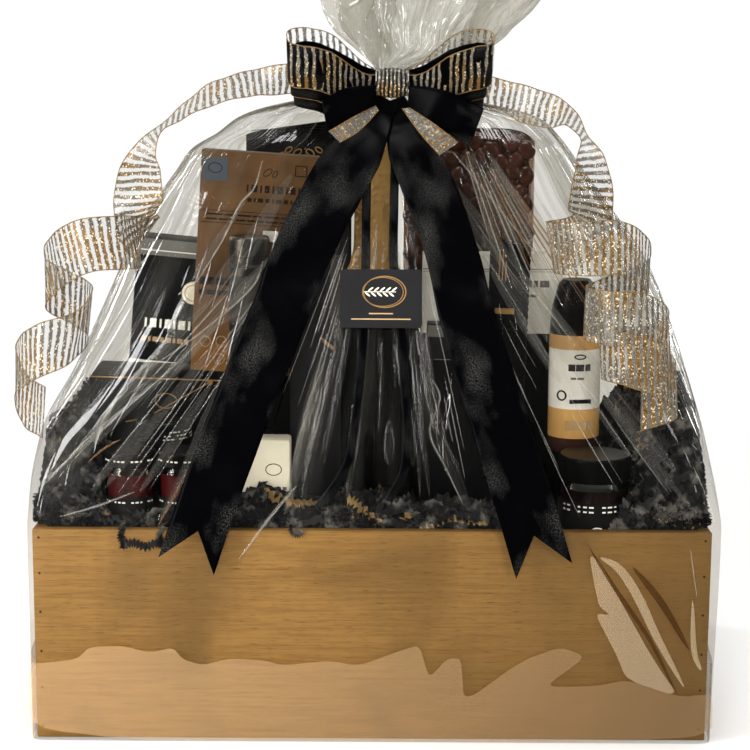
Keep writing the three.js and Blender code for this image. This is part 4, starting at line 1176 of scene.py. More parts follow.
PACKS = (
    Pack(
        "gift_box_low", 158, 66, 112, -138, -9, 132.5, BLACK_BOARD, "black_card", 1.6,
        marks=(
            Mark(GOLD_INK, -12, 110.9, 132, 1.0),
            Mark(GOLD_INK, -12.0, 95.0, 60, 0.8, turn=-31),
            Mark(GOLD_INK, -44.5, 78.5, 14, 0.8, turn=-12),
            Mark(GOLD_INK, -21.0, 94.0, 17, 12, Shape.OVAL, 0.7),
            Mark(GOLD_INK, 12.0, 109.0, 4.0, 4.0, Shape.OVAL),
        ),
    ),
    Pack(
        "chocolate_carton", 88, 19, 166, -94.5, -26.5, 247.6, BROWN_BOARD, "brown_card", 3.6,
        marks=(
            Mark(TAN_BOARD, 0, 10.5, 87.6, 21),
            Mark(BLUE_GREY_INK, -33.2, 152.0, 18.5, 17),
            Mark(BROWN_DARK, -33.2, 153.0, 11, 8, Shape.OVAL, 0.8),
            Mark(BROWN_DARK, 30.6, 154.5, 9, 8.2, line=0.7),
            Mark(BROWN_DARK, -1.5, 121.5, 82, 0.5),
            Mark(BROWN_DARK, -1.5, 112.5, 82, 0.5),
            Mark(BROWN_DARK, 6.0, 152.0, 8, 4.6, Shape.OVAL, 0.6, turn=-40),
            Mark(BROWN_DARK, 11.5, 151.0, 6, 3.4, Shape.OVAL, 0.6, turn=-62),
            *bars(BROWN_DARK, -9, 139.5, (1.2, 4.5, 1.2, 3.5, 1.2, 4.5, 1.2, 3.5, 1.2), 5.5, 2.2),
            *bars(BROWN_DARK, -8, 131.0, (3, 1.2, 4, 3, 1.2, 4, 3, 1.2), 3.0, 1.8),
            *bars(BROWN_DARK, -38, 118.8, (12, 8, 10, 7, 11, 8), 1.3, 1.6),
            *bars(BROWN_DARK, -38, 115.2, (8, 11, 7, 12, 9, 8), 1.3, 1.6),
            Mark(WHITE_BOARD, 10.6, 104.7, 11.5, 8.0),
            *bars(BROWN_DARK, -40.5, 68.5, (5.5, 4.5, 6.0, 5.0), 5.6, 1.2),
            *bars(BROWN_DARK, -40.5, 60.0, (4.5, 5.5, 4.0, 5.0), 3.8, 1.2),
            Mark(TAN_INK, -33.7, 22.3, 8.5, 8.5, Shape.OVAL, 0.7),
            Mark(TAN_INK, -21.7, 23.1, 8.5, 8.5, Shape.OVAL, 0.7),
            Mark(TAN_INK, -22.5, 9.5, 8.5, 8.5, Shape.OVAL, 0.7),
        ),
    ),
    Pack(
        "cracker_carton", 84, 42, 94, -146, 9, 250.6, BLACK_BOARD, "black_card", 5.2,
        marks=(
            Mark(GREY_INK, 0, 87.6, 83.6, 12.4),
            Mark(WHITE_INK, 0, 85.2, 83.6, 0.8),
            *bars(GREY_INK, -36, 83.6, (1.2,) * 12, 1.0, 1.6),
            Mark(CREAM_PAPER, 3.0, 55.0, 17, 17, Shape.OVAL),
            Mark(TAN_INK, 3.0, 55.0, 13, 13, Shape.OVAL, 0.9),
            *bars(WHITE_INK, -32, 29.5, (1.6, 5.0, 1.6, 4.2, 1.6, 5.0, 1.6, 4.2), 6.8, 2.4),
            *bars(TAN_INK, -34, 17.0, (4, 2, 4, 3, 4, 2, 4, 3), 3.6, 1.5),
        ),
    ),
    Pack(
        "dark_carton_left", 38, 18, 180, -43, -54, 159, GREY_BOARD, "grey_card",
        marks=(
            Mark(GOLD_INK, 9.5, 116, 14, 0.7, turn=40),
            Mark(GOLD_INK, 10.5, 113.5, 14, 0.5, turn=40),
            Mark(SMOKE_INK, 15.0, 150, 7.6, 60),
        ),
    ),
    Pack(
        "dark_carton_right", 54, 18, 142, 62, -60, 148, GREY_BOARD, "grey_card", 2.0,
        marks=(
            Mark(GREY_INK, 0, 137.0, 53.6, 8.6),
            Mark(BLACK_INK, 0, 60, 53.6, 110),
            Mark(GREY_INK, -8, 116, 26, 0.5),
        ),
    ),
    Pack(
        "white_carton", 105, 17, 60, 89, -38, 280.6, WHITE_BOARD, "white_card",
        marks=(
            Mark(GREY_INK, 0, 48.4, 104.6, 0.6),
            Mark(GREY_INK, 0, 46.6, 104.6, 0.35),
            *bars(GREY_INK, 2, 37.5, (5, 7, 4, 6, 3, 7), 5.0, 1.6),
            *bars(GREY_INK, 4, 28.5, (7, 4, 8, 5), 2.0, 1.6),
            *bars(GREY_INK, 6, 18.5, (5, 8, 4), 2.0, 1.6),
        ),
    ),
    Pack("black_box_right", 66, 54, 138, 117, -16, 142, BLACK_BOARD, "black_card"),
    Pack("canister_stand_box", 32, 28, 64, -91, -69, 149.4, BLACK_BOARD, "black_card"),
    Pack(
        "cheese_pack", 40, 22, 62, -79.5, -99.5, 150, CREAM_PAPER, "cream_paper",
        edge=2.2,
        marks=(
            Mark(GOLD_INK, 0, 14.0, 39.6, 0.8),
            *bars(GREY_INK, 3, 26, (4, 5, 3), 2.4, 1.2),
            Mark(BROWN_DARK, 8, 40, 12, 9, Shape.OVAL, 0.6),
        ),
    ),
)


@dataclass(frozen=True)
class Pillow:
    """A filled pouch: thick in the middle, pinched at its side edges and at its flat top seal."""

    width: float
    thick: float
    height: float
    lean: float = 0.0
    corner: float = 0.0
    columns: int = 44
    rows: int = 60

    def form(self, ripple: float = 0.0, seed: int = 3) -> BMesh:
        """Shape the pouch.

        Args:
            ripple: how deep its creases are, in mm.
            seed: which creases it gets.

        Returns:
            A closed pouch that stands on Z = 0.
        """
        rng = np.random.default_rng(seed)
        u = np.linspace(-1, 1, self.columns + 1)[None]
        v = np.linspace(0, 1, self.rows + 1)[:, None]
        pinch = 1 - smooth((v - 0.55) / 0.45)
        belly = (1 - np.abs(u) ** 3) * pinch * (0.75 + 0.25 * smooth(v * 4))
        half = 1.4 + (self.thick / 2 - 1.4) * belly
        wave = np.zeros_like(half)
        for _ in range(14):
            fx, fz, shift = rng.uniform(1, 6), rng.uniform(2, 11), rng.uniform(0, 6.3)
            wave += np.abs(np.sin(fx * u + fz * v + shift)) - 0.6
        wave *= ripple / 5 * np.clip(1.3 - np.abs(u) ** 4 - 0.5 * (1 - pinch), 0.15, 1)
        drop = self.corner * np.abs(u) ** 6 * smooth((v - 0.6) / 0.4) + self.lean * (1 - u) * v
        x = np.broadcast_to(u * self.width / 2, half.shape)
        z = self.height * v - drop
        front = np.stack([x, -(half + wave), z], axis=2)
        back = np.stack([x, half + 0.6 * wave, z], axis=2)
        bm = surface(np.concatenate([front, back[:, ::-1]], axis=1))
        bmesh.ops.remove_doubles(bm, verts=bm.verts, dist=1e-4)
        open_sides = [edge for edge in bm.edges if edge.is_boundary]
        bmesh.ops.holes_fill(bm, edges=open_sides, sides=0)
        bmesh.ops.recalc_face_normals(bm, faces=bm.faces)
        return bm


@dataclass(frozen=True)
class Pouches:
    """The black stand-up pouch, the clear bag of wrapped chocolates and the black wafer bar."""

    truffle: Pillow = Pillow(84, 24, 236, 6, 2)
    truffle_at: Point = (-60, 68, 200)
    sweets: Pillow = Pillow(104, 28, 248, 0, 10)
    sweets_core: Pillow = Pillow(96, 17, 240, 0, 9, 20, 30)
    sweets_at: Point = (76, 72, 180)
    sweet_radius: float = 8.6
    sweet_step: tuple[float, float] = (14.4, 11.8)
    sweet_seed: int = 31
    sweet_rows: int = 20
    sweets_across: int = 7
    bar: Pillow = Pillow(30, 9, 176, columns=24, rows=88)
    bar_at: tuple[float, float, float, float] = (95, -78, 176, 1.5)

    def build(self) -> None:
        """Make the three packs."""
        self.truffle_pouch()
        self.chocolate_bag()
        self.wafer_bar()

    def truffle_pouch(self) -> None:
        """Make the pouch, with a gold scroll under its top seal and pressed lines across the seal."""
        piece = Piece("truffle_pouch_pack", "black_wrap", "truffle_pouch")
        place = placed(*self.truffle_at)
        piece.add(self.truffle.form(1.2, 8), BLACK_FILM, place)
        for k in range(4):
            line = mark(Shape.BAR, 76, 0.6, thick=0.8)
            piece.add(line, BLACK_BOARD, place @ placed(0, -2.0, 228 - 2.2 * k, -4))
        for side in (-1, 1):
            for k, (x, z, size) in enumerate(((5, 210, 8), (12, 212, 7), (18, 208, 6), (8, 205, 5))):
                at = placed(4 + side * x, -6.4, z - 1.5) @ Matrix.Rotation(side * 0.6, 4, "Y")
                piece.add(mark(Shape.OVAL, size, size * 0.62, 0.9, thick=2.4), GOLD_INK, place @ at)
        piece.done()

    def chocolate_bag(self) -> None:
        """Make the wrapped chocolates in their clear bag, drawn together under a plain seal."""
        rng = np.random.default_rng(self.sweet_seed)
        step_x, step_z = self.sweet_step
        place = placed(*self.sweets_at)
        sweets = Piece("wrapped_chocolates", "chocolate_bag", "chocolate_bag")
        sweets.add(self.sweets_core.form(1.0, 5), SWEET, place)
        for k in range(self.sweet_rows):
            for j in range(self.sweets_across):
                x = (j - self.sweets_across / 2 + 0.5 * (k % 2) + 0.25) * step_x + rng.uniform(-3.5, 3.5)
                z = 10 + k * step_z + rng.uniform(-3.5, 3.5)
                bm = bmesh.new()
                bmesh.ops.create_icosphere(bm, subdivisions=2, radius=self.sweet_radius)
                for vert in bm.verts:
                    vert.co *= 1 + rng.uniform(-0.07, 0.05)
                room = 1.0 - 0.55 * float(smooth((z / self.sweets.height - 0.6) / 0.4))
                bmesh.ops.scale(bm, vec=(1.0, 0.9 * room, 0.8), verts=bm.verts)
                spin = Matrix.Rotation(rng.uniform(0, 3), 4, "Y")
                sweets.add(bm, SWEET, place @ placed(min(max(x, -45), 45), -4.5 * room, z) @ spin)
        sweets.done(sharp=70)
        bag = Piece("chocolate_bag_film", "clear_film")
        bag.add(self.sweets.form(2.0, 12), SWEET_FILM, place).done(sharp=30)

    def wafer_bar(self) -> None:
        """Make the flow-wrapped bar, with a saw-cut crimp at its top and gold print."""
        piece = Piece("wafer_bar_pack", "black_wrap", "wafer_bar")
        place = placed(*self.bar_at)
        bm = self.bar.form(0.5, 21)
        for vert in bm.verts:
            if vert.co.z > 160:
                vert.co.y += 0.35 * math.sin(vert.co.x * 3.2)
            if abs(vert.co.x) > 14.5:
                vert.co.x -= math.copysign(0.45 * (1 + math.sin(vert.co.z * 1.9)), vert.co.x)
        piece.add(bm, BLACK_FILM, place)
        prints = ((-8, 160, 0.7, 22), (-5.6, 160, 0.7, 22), (-3.2, 156, 0.7, 14), (-3, 126.6, 14, 4))
        for x, z, wide, tall in prints:
            at = placed(x, -3.6 if z > 150 else -4.5, z)
            piece.add(mark(Shape.BAR, wide, tall, thick=1.6), GOLD_INK, place @ at)
        piece.done()


@dataclass(frozen=True)
class Bottle:
    """The dark wine bottle with its gold capsule, in a clear sleeve that is crumpled at its foot."""

    radius: float = 43.0
    height: float = 312.0
    neck: float = 14.0
    x: float = 0.0
    y: float = 8.0
    foot: float = 106.0
    foil_seed: int = 4
    sleeve_seed: int = 9
    sleeve_folds: int = 46
    sleeve_rows: int = 90
    sleeve_columns: int = 301

    def shoulder(self, start: float, steps: int, grow: float) -> list[tuple[float, float]]:
        """Trace the shoulder from a share of its height up to the neck."""
        share = np.linspace(start, 1, steps)
        radii = self.radius + (self.neck - self.radius) * smooth(share) + grow
        heights = self.height * (0.5 + 0.26 * share)
        return [(float(r), float(h)) for r, h in zip(radii, heights)]

    def build(self) -> None:
        """Make the glass, the capsule and the sleeve."""
        place = placed(self.x, self.y, self.foot)
        r, neck, tall = self.radius, self.neck, self.height
        glass = [(0, 0), (r - 6, 0), (r - 1.5, 1.5), (r, 6)]
        glass += [*self.shoulder(0, 22, 0), (neck - 0.6, tall - 4), (0, tall - 4)]
        piece = Piece("wine_bottle_glass", "dark_glass", "wine_bottle")
        piece.add(lathe(glass, 64), BOTTLE_GLASS, place).done()
        inner = [(0, tall - 3.4), (neck + 0.3, tall - 3.4), *self.shoulder(0.45, 8, 0.6)[::-1]]
        bead = [(1.2, 0.84), (2.2, 0.85), (2.2, 0.87), (1.6, 0.88), (1.6, 1)]
        outer = [*self.shoulder(0.45, 14, 1.7), *((neck + out, tall * share) for out, share in bead)]
        capsule = lathe([*inner, *outer, (neck - 2, tall + 2.4), (0, tall + 3)], 72)
        rng = np.random.default_rng(self.foil_seed)
        for vert in capsule.verts:
            if vert.co.z > tall * 0.7:
                angle = math.atan2(vert.co.y, vert.co.x)
                pinch = 0.35 * abs(math.sin(9 * angle + vert.co.z * 0.11)) + rng.uniform(0, 0.12)
                vert.co.x -= pinch * math.cos(angle)
                vert.co.y -= pinch * math.sin(angle)
        Piece("bottle_capsule", "gold_foil", "bottle_foil").add(capsule, CAPSULE_FOIL, place).done()
        self.sleeve(place)

    def sleeve(self, place: Matrix) -> None:
        """Make the sleeve: straight folds above, crumpled where it is tucked under the bottle."""
        levels = ((0, 51.5, 0.1), (26, 50, 0.09), (60, 48, 0.05), (110, 46.8, 0.035), (176, 45.6, 0.03))
        rows = spline(np.array(levels), np.linspace(0, 1, self.sleeve_rows))
        turn = np.linspace(0, 1, self.sleeve_columns)
        angles = 2 * math.pi * turn
        rng = np.random.default_rng(self.sleeve_seed)
        fold = np.zeros((self.sleeve_rows, self.sleeve_columns))
        for _ in range(self.sleeve_folds):
            centre, width, lean = rng.random(), rng.uniform(0.006, 0.03), rng.uniform(-0.08, 0.08)
            away = (turn[None] - centre - lean * rows[:, :1] / levels[-1][0] + 0.5) % 1 - 0.5
            fold += rng.uniform(0.2, 0.7) * np.clip(1 - np.abs(away) / width, 0, 1)
        fold = np.minimum(fold, 1.4) * rows[:, 2:3]
        radius = np.maximum(rows[:, 1:2] * (1 - fold), self.radius + 0.7)
        height = np.broadcast_to(rows[:, :1], fold.shape)
        points = np.stack([radius * np.cos(angles), radius * np.sin(angles), height], axis=2)
        points[-1, :, 2] += 3 * np.sin(17 * angles) * np.sin(5 * angles)
        uv = np.stack(np.meshgrid(turn * 0.3, rows[:, 0] * MM), axis=2)
        bm = surface(points, uv, around=True)
        Piece("bottle_sleeve", "clear_film", "bottle_bag").add(bm, SLEEVE_FILM, place).done(sharp=24)


@dataclass(frozen=True)
class Jar:
    """A small glass jar: its hollow glass, its filling, a knurled lid and a paper label with plain marks."""

    name: str
    radius: float
    glass: float
    lid: float
    x: float
    y: float
    z: float
    filling: Finish
    fill_slot: str
    knurls: int = 48
    wall: float = 1.8
    label_top: float = 31.0
    rows: tuple[float, ...] = (27.5, 57.5)

    def build(self) -> None:
        """Make the glass, the filling that reaches just into its wall, and the lid."""
        place = placed(self.x, self.y, self.z)
        r, wall, tall = self.radius, self.wall, self.glass
        hollow = [(0, 0), (r - 2, 0), (r - 0.6, 0.6), (r, 2), (r, tall - 6), (r - 0.7, tall - 3)]
        hollow += [(r - 2.4, tall), (r - 2.4 - wall, tall), (r - wall, tall - 7), (r - wall, 4)]
        hollow += [(r - wall - 2, 2.4), (0, 2.4)]
        piece = Piece(f"{self.name}_jar", "clear_glass", f"{self.name}_glass")
        piece.add(lathe(hollow, 56), JAR_GLASS, place).done()
        inner = r - wall + 0.2
        content = [(0, 2.2), (inner - 2.3, 2.2), (inner, 4.4), (inner, tall - 7.4)]
        content += [(inner - 1.6, tall - 9), (0, tall - 9.6)]
        piece = Piece(f"{self.name}_contents", self.fill_slot, f"{self.name}_filling")
        piece.add(lathe(content, 48), self.filling, place).done()
        self.cap(place)
        self.label(place)

    def cap(self, place: Matrix) -> None:
        """Make the lid, with fine upright knurls and a rolled lower edge."""
        r, tall, high = self.radius, self.glass, self.lid
        profile = [(0, tall + 0.3), (r - 1.6, tall + 0.3), (r - 1.6, tall - 1.4), (r + 0.5, tall - 1.4)]
        profile += [(r + 0.7, tall - 0.4), (r + 0.45, tall + 0.8), (r + 0.4, tall + high - 2.4)]
        profile += [(r + 0.1, tall + high - 1.0), (r - 1, tall + high), (r - 3, tall + high - 0.5)]
        profile += [(0, tall + high - 0.6)]
        bm = lathe(profile, self.knurls * 2)
        for vert in bm.verts:
            if tall + 0.5 < vert.co.z < tall + high - 2:
                angle = math.atan2(vert.co.y, vert.co.x)
                swell = 0.28 * math.cos(self.knurls * angle)
                vert.co.x += swell * math.cos(angle)
                vert.co.y += swell * math.sin(angle)
        Piece(f"{self.name}_cap", "black_lid", f"{self.name}_lid").add(bm, LID_BLACK, place).done()

    def label(self, place: Matrix) -> None:
        """Wrap a black label round the lower half, with a ring seal, and put bars on it and the lid."""
        piece = Piece(f"{self.name}_label", "black_card")
        inner, top = self.radius + 0.05, self.label_top
        band = [(inner, 4), (inner + 0.2, 4), (inner + 0.2, top), (inner, top), (inner, 4)]
        piece.add(lathe(band, 56), BLACK_INK, place)
        for line in self.rows:
            reach = self.radius + (0.8 if line > self.glass else 0.3)
            for k in range(-6, 7):
                if k % 4:
                    bar = mark(Shape.BAR, self.radius * (0.07 + 0.03 * (k % 3)), 1.1)
                    piece.add(bar, WHITE_INK, place @ round_at(k * 10.0, reach, line))
        at = placed(0, -(self.radius + 0.3) + 0.15, self.glass * 0.25)
        for share, line, thick in ((0.52, 0.9, 1.2), (0.22, 0.6, 1.0)):
            ring = mark(Shape.OVAL, self.radius * share, self.radius * share, line, thick)
            piece.add(ring, WHITE_INK, place @ at)
        piece.done()


@dataclass(frozen=True)
class RoundPacks:
    """The jars, the black tin, the small canister and the sausage stick, and where the last three stand."""

    tin_at: Point = (-156, -66, 145)
    canister_at: Point = (-91, -69, 214)
    sausage_at: Point = (149, -66.5, 194.5)

    def build(self) -> None:
        """Make all the round packs."""
        Jar("jam_jar_left", 18.2, 54, 9, -175, -108, 141, JAM, "red_jam").build()
        Jar("jam_jar_right", 18.2, 54, 9, -137, -108, 141, JAM, "red_jam").build()
        print_at = {"label_top": 37.0, "rows": (34.0, 30.5)}
        Jar("spread_jar", 25.5, 52, 16, 160, -113.5, 136, SPREAD, "dark_spread", 64, **print_at).build()
        self.tin()
        self.canister()
        self.sausage()

    def tin(self) -> None:
        """Make the shallow-lidded black tin with a pale ring of print."""
        place = placed(*self.tin_at)
        r, tall = 21.0, 74.0
        side = [(0, 0), (r - 3, 0), (r - 0.8, 0.8), (r, 3), (r, 60), (r - 0.6, 60.4), (r - 0.6, 61)]
        side += [(r, 61.4), (r, tall - 5), (r - 0.9, tall - 2.4), (r - 2.6, tall - 1), (r - 2.6, tall)]
        side += [(0, tall)]
        piece = Piece("black_tin_pack", "black_lid", "black_tin")
        piece.add(lathe(side, 64), LID_BLACK, place)
        for k in range(-6, 7):
            for level, drop in ((66.5, 2), (63.8, 0), (61.2, 3)):
                if (k + drop) % 4:
                    at = place @ round_at(k * 9.0 + level, r + 0.02, level)
                    piece.add(mark(Shape.BAR, 1.2 + 0.7 * (k % 3), 0.8), WHITE_INK, at)
        piece.done()

    def canister(self) -> None:
        """Make the canister: black foot, pale filled body with a strap, and a turned nickel lid."""
        place = placed(*self.canister_at)
        foot = [(0, 0), (14, 0), (14.6, 0.5), (15, 1.5), (15, 77.4), (14.4, 78), (0, 78)]
        piece = Piece("canister_foot", "black_wrap", "canister_base")
        piece.add(lathe(foot, 48), MOULDED_BLACK, place).done()
        body = [(0, 78.3), (14.2, 78.3), (14.6, 78.8), (14.6, 121), (14.2, 121.5), (0, 121.5)]
        piece = Piece("canister_jar", "clear_glass", "canister_body")
        piece.add(lathe(body, 48), PEPPER, place)
        strap = [(14.55, 113), (14.9, 113), (14.9, 119), (14.55, 119), (14.55, 113)]
        piece.add(lathe(strap, 48), NICKEL, place).done()
        lid = [(0, 121.8), (14.4, 121.8), (15, 122.3), (15, 126), (14.3, 126.4), (14.3, 127.4), (15, 127.8)]
        lid += [(15, 138.4), (14.6, 140), (13.6, 141), (12.6, 140.7), (0, 140.6)]
        Piece("canister_cover", "pewter", "canister_lid").add(lathe(lid, 56), NICKEL, place).done()

    def sausage(self) -> None:
        """Make the stick: dark twisted wrap, orange and white sleeve, bare casing at its foot."""
        place = placed(*self.sausage_at)
        piece = Piece("salami_stick_pack", "sausage_wrap", "salami_stick")
        zones = (
            ((0, 0), (12, 0), (16.4, 2.6), (19, 7), (19, 14)), SAUSAGE,
            ((19, 14), (19.1, 14.2), (19.1, 36)), ORANGE_INK,
            ((19.1, 36), (19.1, 80)), WHITE_INK,
            ((19.1, 80), (19.1, 90), (18.9, 90.4)), ORANGE_INK,
            ((18.9, 90.4), (18.7, 98), (17.4, 110), (14.6, 121), (13, 127), (10, 130), (0, 130)), BLACK_FILM,
        )
        for profile, finish in zip(zones[::2], zones[1::2]):
            piece.add(lathe(profile, 56), finish, place)
        for angle, z, wide, tall, finish in (
            (-12, 67, 5, 5, BLACK_INK), (6, 67, 6, 5, BLACK_INK), (24, 67, 4, 5, BLACK_INK),
            (-8, 59, 4, 1.6, GREY_INK), (8, 59, 5, 1.6, GREY_INK), (8, 42, 16, 3.0, BLACK_INK),
            (0, 24, 15, 6.5, TAN_INK), (28, 24, 9, 6.5, TAN_INK),
        ):
            bar = mark(Shape.BAR, wide, tall, thick=1.0)
            piece.add(bar, finish, place @ round_at(angle, 18.95, z))
        for angle, z, wide, tall, line in ((-34, 46, 8, 8, 1.2), (6, 75, 9, 4, 0.9)):
            ring = mark(Shape.OVAL, wide, tall, line, thick=0.9)
            piece.add(ring, BLACK_INK, place @ round_at(angle, 19.0, z))
        piece.done()


# The shred


@dataclass(frozen=True)
class Shred:
    """Crinkle-cut tissue: thousands of zig-zag strips, heaped in the corners and up to the rim between."""

    level: float = 150.0
    left_heap: float = 60.0
    right_heap: float = 84.0
    half_x: float = 229.0
    half_y: float = 139.0
    folds: int = 28
    width: float = 6.0
    pitch: float = 2.5
    amplitude: float = 1.2
    jag: float = 1.3
    strips: int = 2300
    tan_strips: int = 64
    seed: int = 1973
    flecks: Line = ((-38, 22), (-17, 38), (10, 22), (28, 6), (43, 48), (80, -78), (144, -139), (178, 60))
    clear_rounds: Line = (
        (-175, -108, 19), (-137, -108, 19), (160, -113.5, 26.5), (-156, -66, 22), (0, 8, 53),
        (149, -66.5, 20),
    )
    clear_boxes: Line = ((-60, 68, 44, 13), (76, 72, 54, 15), (95, -78, 16, 6))

    def height(self, x: np.ndarray, y: np.ndarray) -> np.ndarray:
        """Return the heap's height over the crate."""
        left = self.left_heap * smooth((-x - 172) / 50) * smooth((235 + x) / 12 + 0.7)
        right = self.right_heap * smooth((x - 170) / 52) * smooth((235 - x) / 14 + 0.6)
        edge = 1 - 0.88 * smooth((np.abs(y) - 86) / 54)
        mound = 22 * np.exp(-(((x + 84) / 20) ** 2 + ((y + 120) / 13) ** 2))
        bumps = 4.5 * np.sin(x / 11) * np.cos(y / 9) + 3.5 * np.sin((x + 2 * y) / 17)
        return self.level + (left + right) * edge + mound + bumps

    def build(self) -> None:
        """Make the dark core, the strips over it and the few that hang over the rim."""
        self.core()
        rng = np.random.default_rng(self.seed)
        self.strands("shred_strips", rng, self.strips, SHRED, (-6.0, 10.0))
        self.strands("shred_strips_low", rng, self.strips, SHRED, (-12.0, 4.0))
        self.strands("shred_strips_tan", rng, self.tan_strips, SHRED_TAN, (-2.0, 11.0))
        self.over_rim()

    def core(self) -> None:
        """Make the core, a little below the strips, down to the crate's floor."""
        x = np.linspace(-self.half_x, self.half_x, 121)[None]
        y = np.linspace(-self.half_y, self.half_y, 73)[:, None]
        sunk = 11.0 + 7.0 * smooth((-y - 112) / 16)
        z = self.height(x, y) - sunk + 1.6 * np.sin(x * 0.9 + 2 * np.sin(y * 0.4)) * np.cos(y * 0.8)
        points = np.stack(np.broadcast_arrays(x, y, z), axis=2)
        bm = surface(points)
        rim = [edge for edge in bm.edges if edge.is_boundary]
        walls = bmesh.ops.extrude_edge_only(bm, edges=rim)
        for vert in [g for g in walls["geom"] if isinstance(g, bmesh.types.BMVert)]:
            vert.co.z = 7.3
        bottom = [edge for edge in bm.edges if edge.is_boundary]
        bmesh.ops.edgeloop_fill(bm, edges=bottom)
        bmesh.ops.recalc_face_normals(bm, faces=bm.faces)
        # The core wears the darker copy of the shred, as painted shade.
        Piece("shred_core", "paper_shred", "paper_shred").add(bm, SHRED_SHADED).done()

    def blocked(self, x: np.ndarray, y: np.ndarray, z: np.ndarray) -> np.ndarray:
        """Say which points are inside a pack, a jar or the bottle."""
        inside = np.zeros(x.shape, bool)
        for pack in PACKS:
            inside |= (
                (np.abs(x - pack.x) < pack.width / 2 + 1) & (np.abs(y - pack.y) < pack.depth / 2 + 1)
                & (z < pack.z + pack.height)
            )
        for cx, cy, radius in self.clear_rounds:
            inside |= np.hypot(x - cx, y - cy) < radius
        for cx, cy, half_x, half_y in self.clear_boxes:
            inside |= (np.abs(x - cx) < half_x) & (np.abs(y - cy) < half_y)
        return inside

    def strands(
        self, name: str, rng: np.random.Generator, count: int, finish: Finish, lift: tuple[float, float]
    ) -> None:
        """Lay strips over the heap, each along a bending path.

        Args:
            name: the piece's name.
            rng: the seeded random draws.
            count: how many strips to try. One that runs into a pack is left out.
            finish: the paper.
            lift: how far under and over the heap they lie.
        """
        steps = np.arange(self.folds + 1)
        x0 = rng.uniform(-self.half_x, self.half_x, count)
        y0 = self.half_y * (2 * rng.beta(0.8, 1.1, count) - 1)
        front = rng.random(count) < 0.24
        y0[front] = rng.uniform(-139, -120, int(front.sum()))
        heading = rng.uniform(0, 2 * math.pi, count)
        curl = rng.normal(0, 0.09, count)
        sway = rng.normal(0, 0.35, count)
        ends = rng.random(count) < (0.0 if finish is SHRED_TAN else 0.2)
        x0[ends] = rng.choice([-1.0, 1.0], int(ends.sum())) * rng.uniform(176, 238, int(ends.sum()))
        y0[ends] = rng.uniform(-139, -60, int(ends.sum()))
        if finish is SHRED_TAN:
            spots = np.array(self.flecks)
            x0[: len(spots)], y0[: len(spots)] = spots[:, 0], spots[:, 1]
        turn = heading[:, None] + curl[:, None] * steps + sway[:, None] * np.sin(steps * 0.45)
        pitch = self.pitch * rng.uniform(0.75, 1.25, count)[:, None]
        x = x0[:, None] + np.cumsum(np.cos(turn) * pitch, axis=1)
        y = y0[:, None] + np.cumsum(np.sin(turn) * pitch, axis=1)
        x = np.clip(x, -self.half_x - 8, self.half_x + 8)
        limit = np.minimum(self.half_y, -wrap_front(x, np.minimum(self.height(x, y) + 12, 330)) - 5)
        y = np.clip(y, -limit, limit)
        arch = rng.uniform(lift[0], lift[1], count)[:, None] + rng.normal(0, 4.0, count)[:, None] * np.sin(
            steps * rng.uniform(0.12, 0.4, count)[:, None] + rng.uniform(0, 6.3, count)[:, None]
        )
        z = self.height(x, y) + arch
        z = np.where(np.abs(x) > self.half_x - 1, np.maximum(z, 160), z)
        under_film = np.abs(y) < -wrap_front(x, np.minimum(z, 330)) - 2
        keep = ~self.blocked(x, y, z).any(axis=1) & under_film.all(axis=1)
        roll = rng.normal(0, 0.5, int(keep.sum()))[:, None] + 0.25 * np.sin(steps * 0.5)
        self.paper(name, np.stack([x, y, z], axis=2)[keep], roll, finish, self.width)

    def over_rim(self) -> None:
        """Hang a few strips over the front's rim, between the board and the film."""
        t = np.linspace(0, 1, self.folds + 1)
        rim, bend, film = -146, -151.6, -151.8
        routes = (
            ((-177, rim, 158), (-176, bend, 156), (-177, film, 150), (-175, film, 146), (-176, film, 142)),
            ((-176, film, 144), (-168, film, 146), (-160, film, 143), (-152, film, 146), (-148, bend, 144)),
            ((-149, rim, 158), (-148, bend, 156), (-150, film, 152), (-149, film, 148), (-147, film, 145)),
            ((-58, rim, 157), (-57, bend, 156), (-55, film, 153), (-51, film, 153), (-49, bend, 156)),
        )
        paths = np.array([spline(np.array(points), t) for points in routes])
        roll = np.full(paths.shape[:2], 0.5)
        self.paper("shred_strips_over_rim", paths, roll, SHRED, 4.6, (0.0, 1.0, 0.2), 0.8)

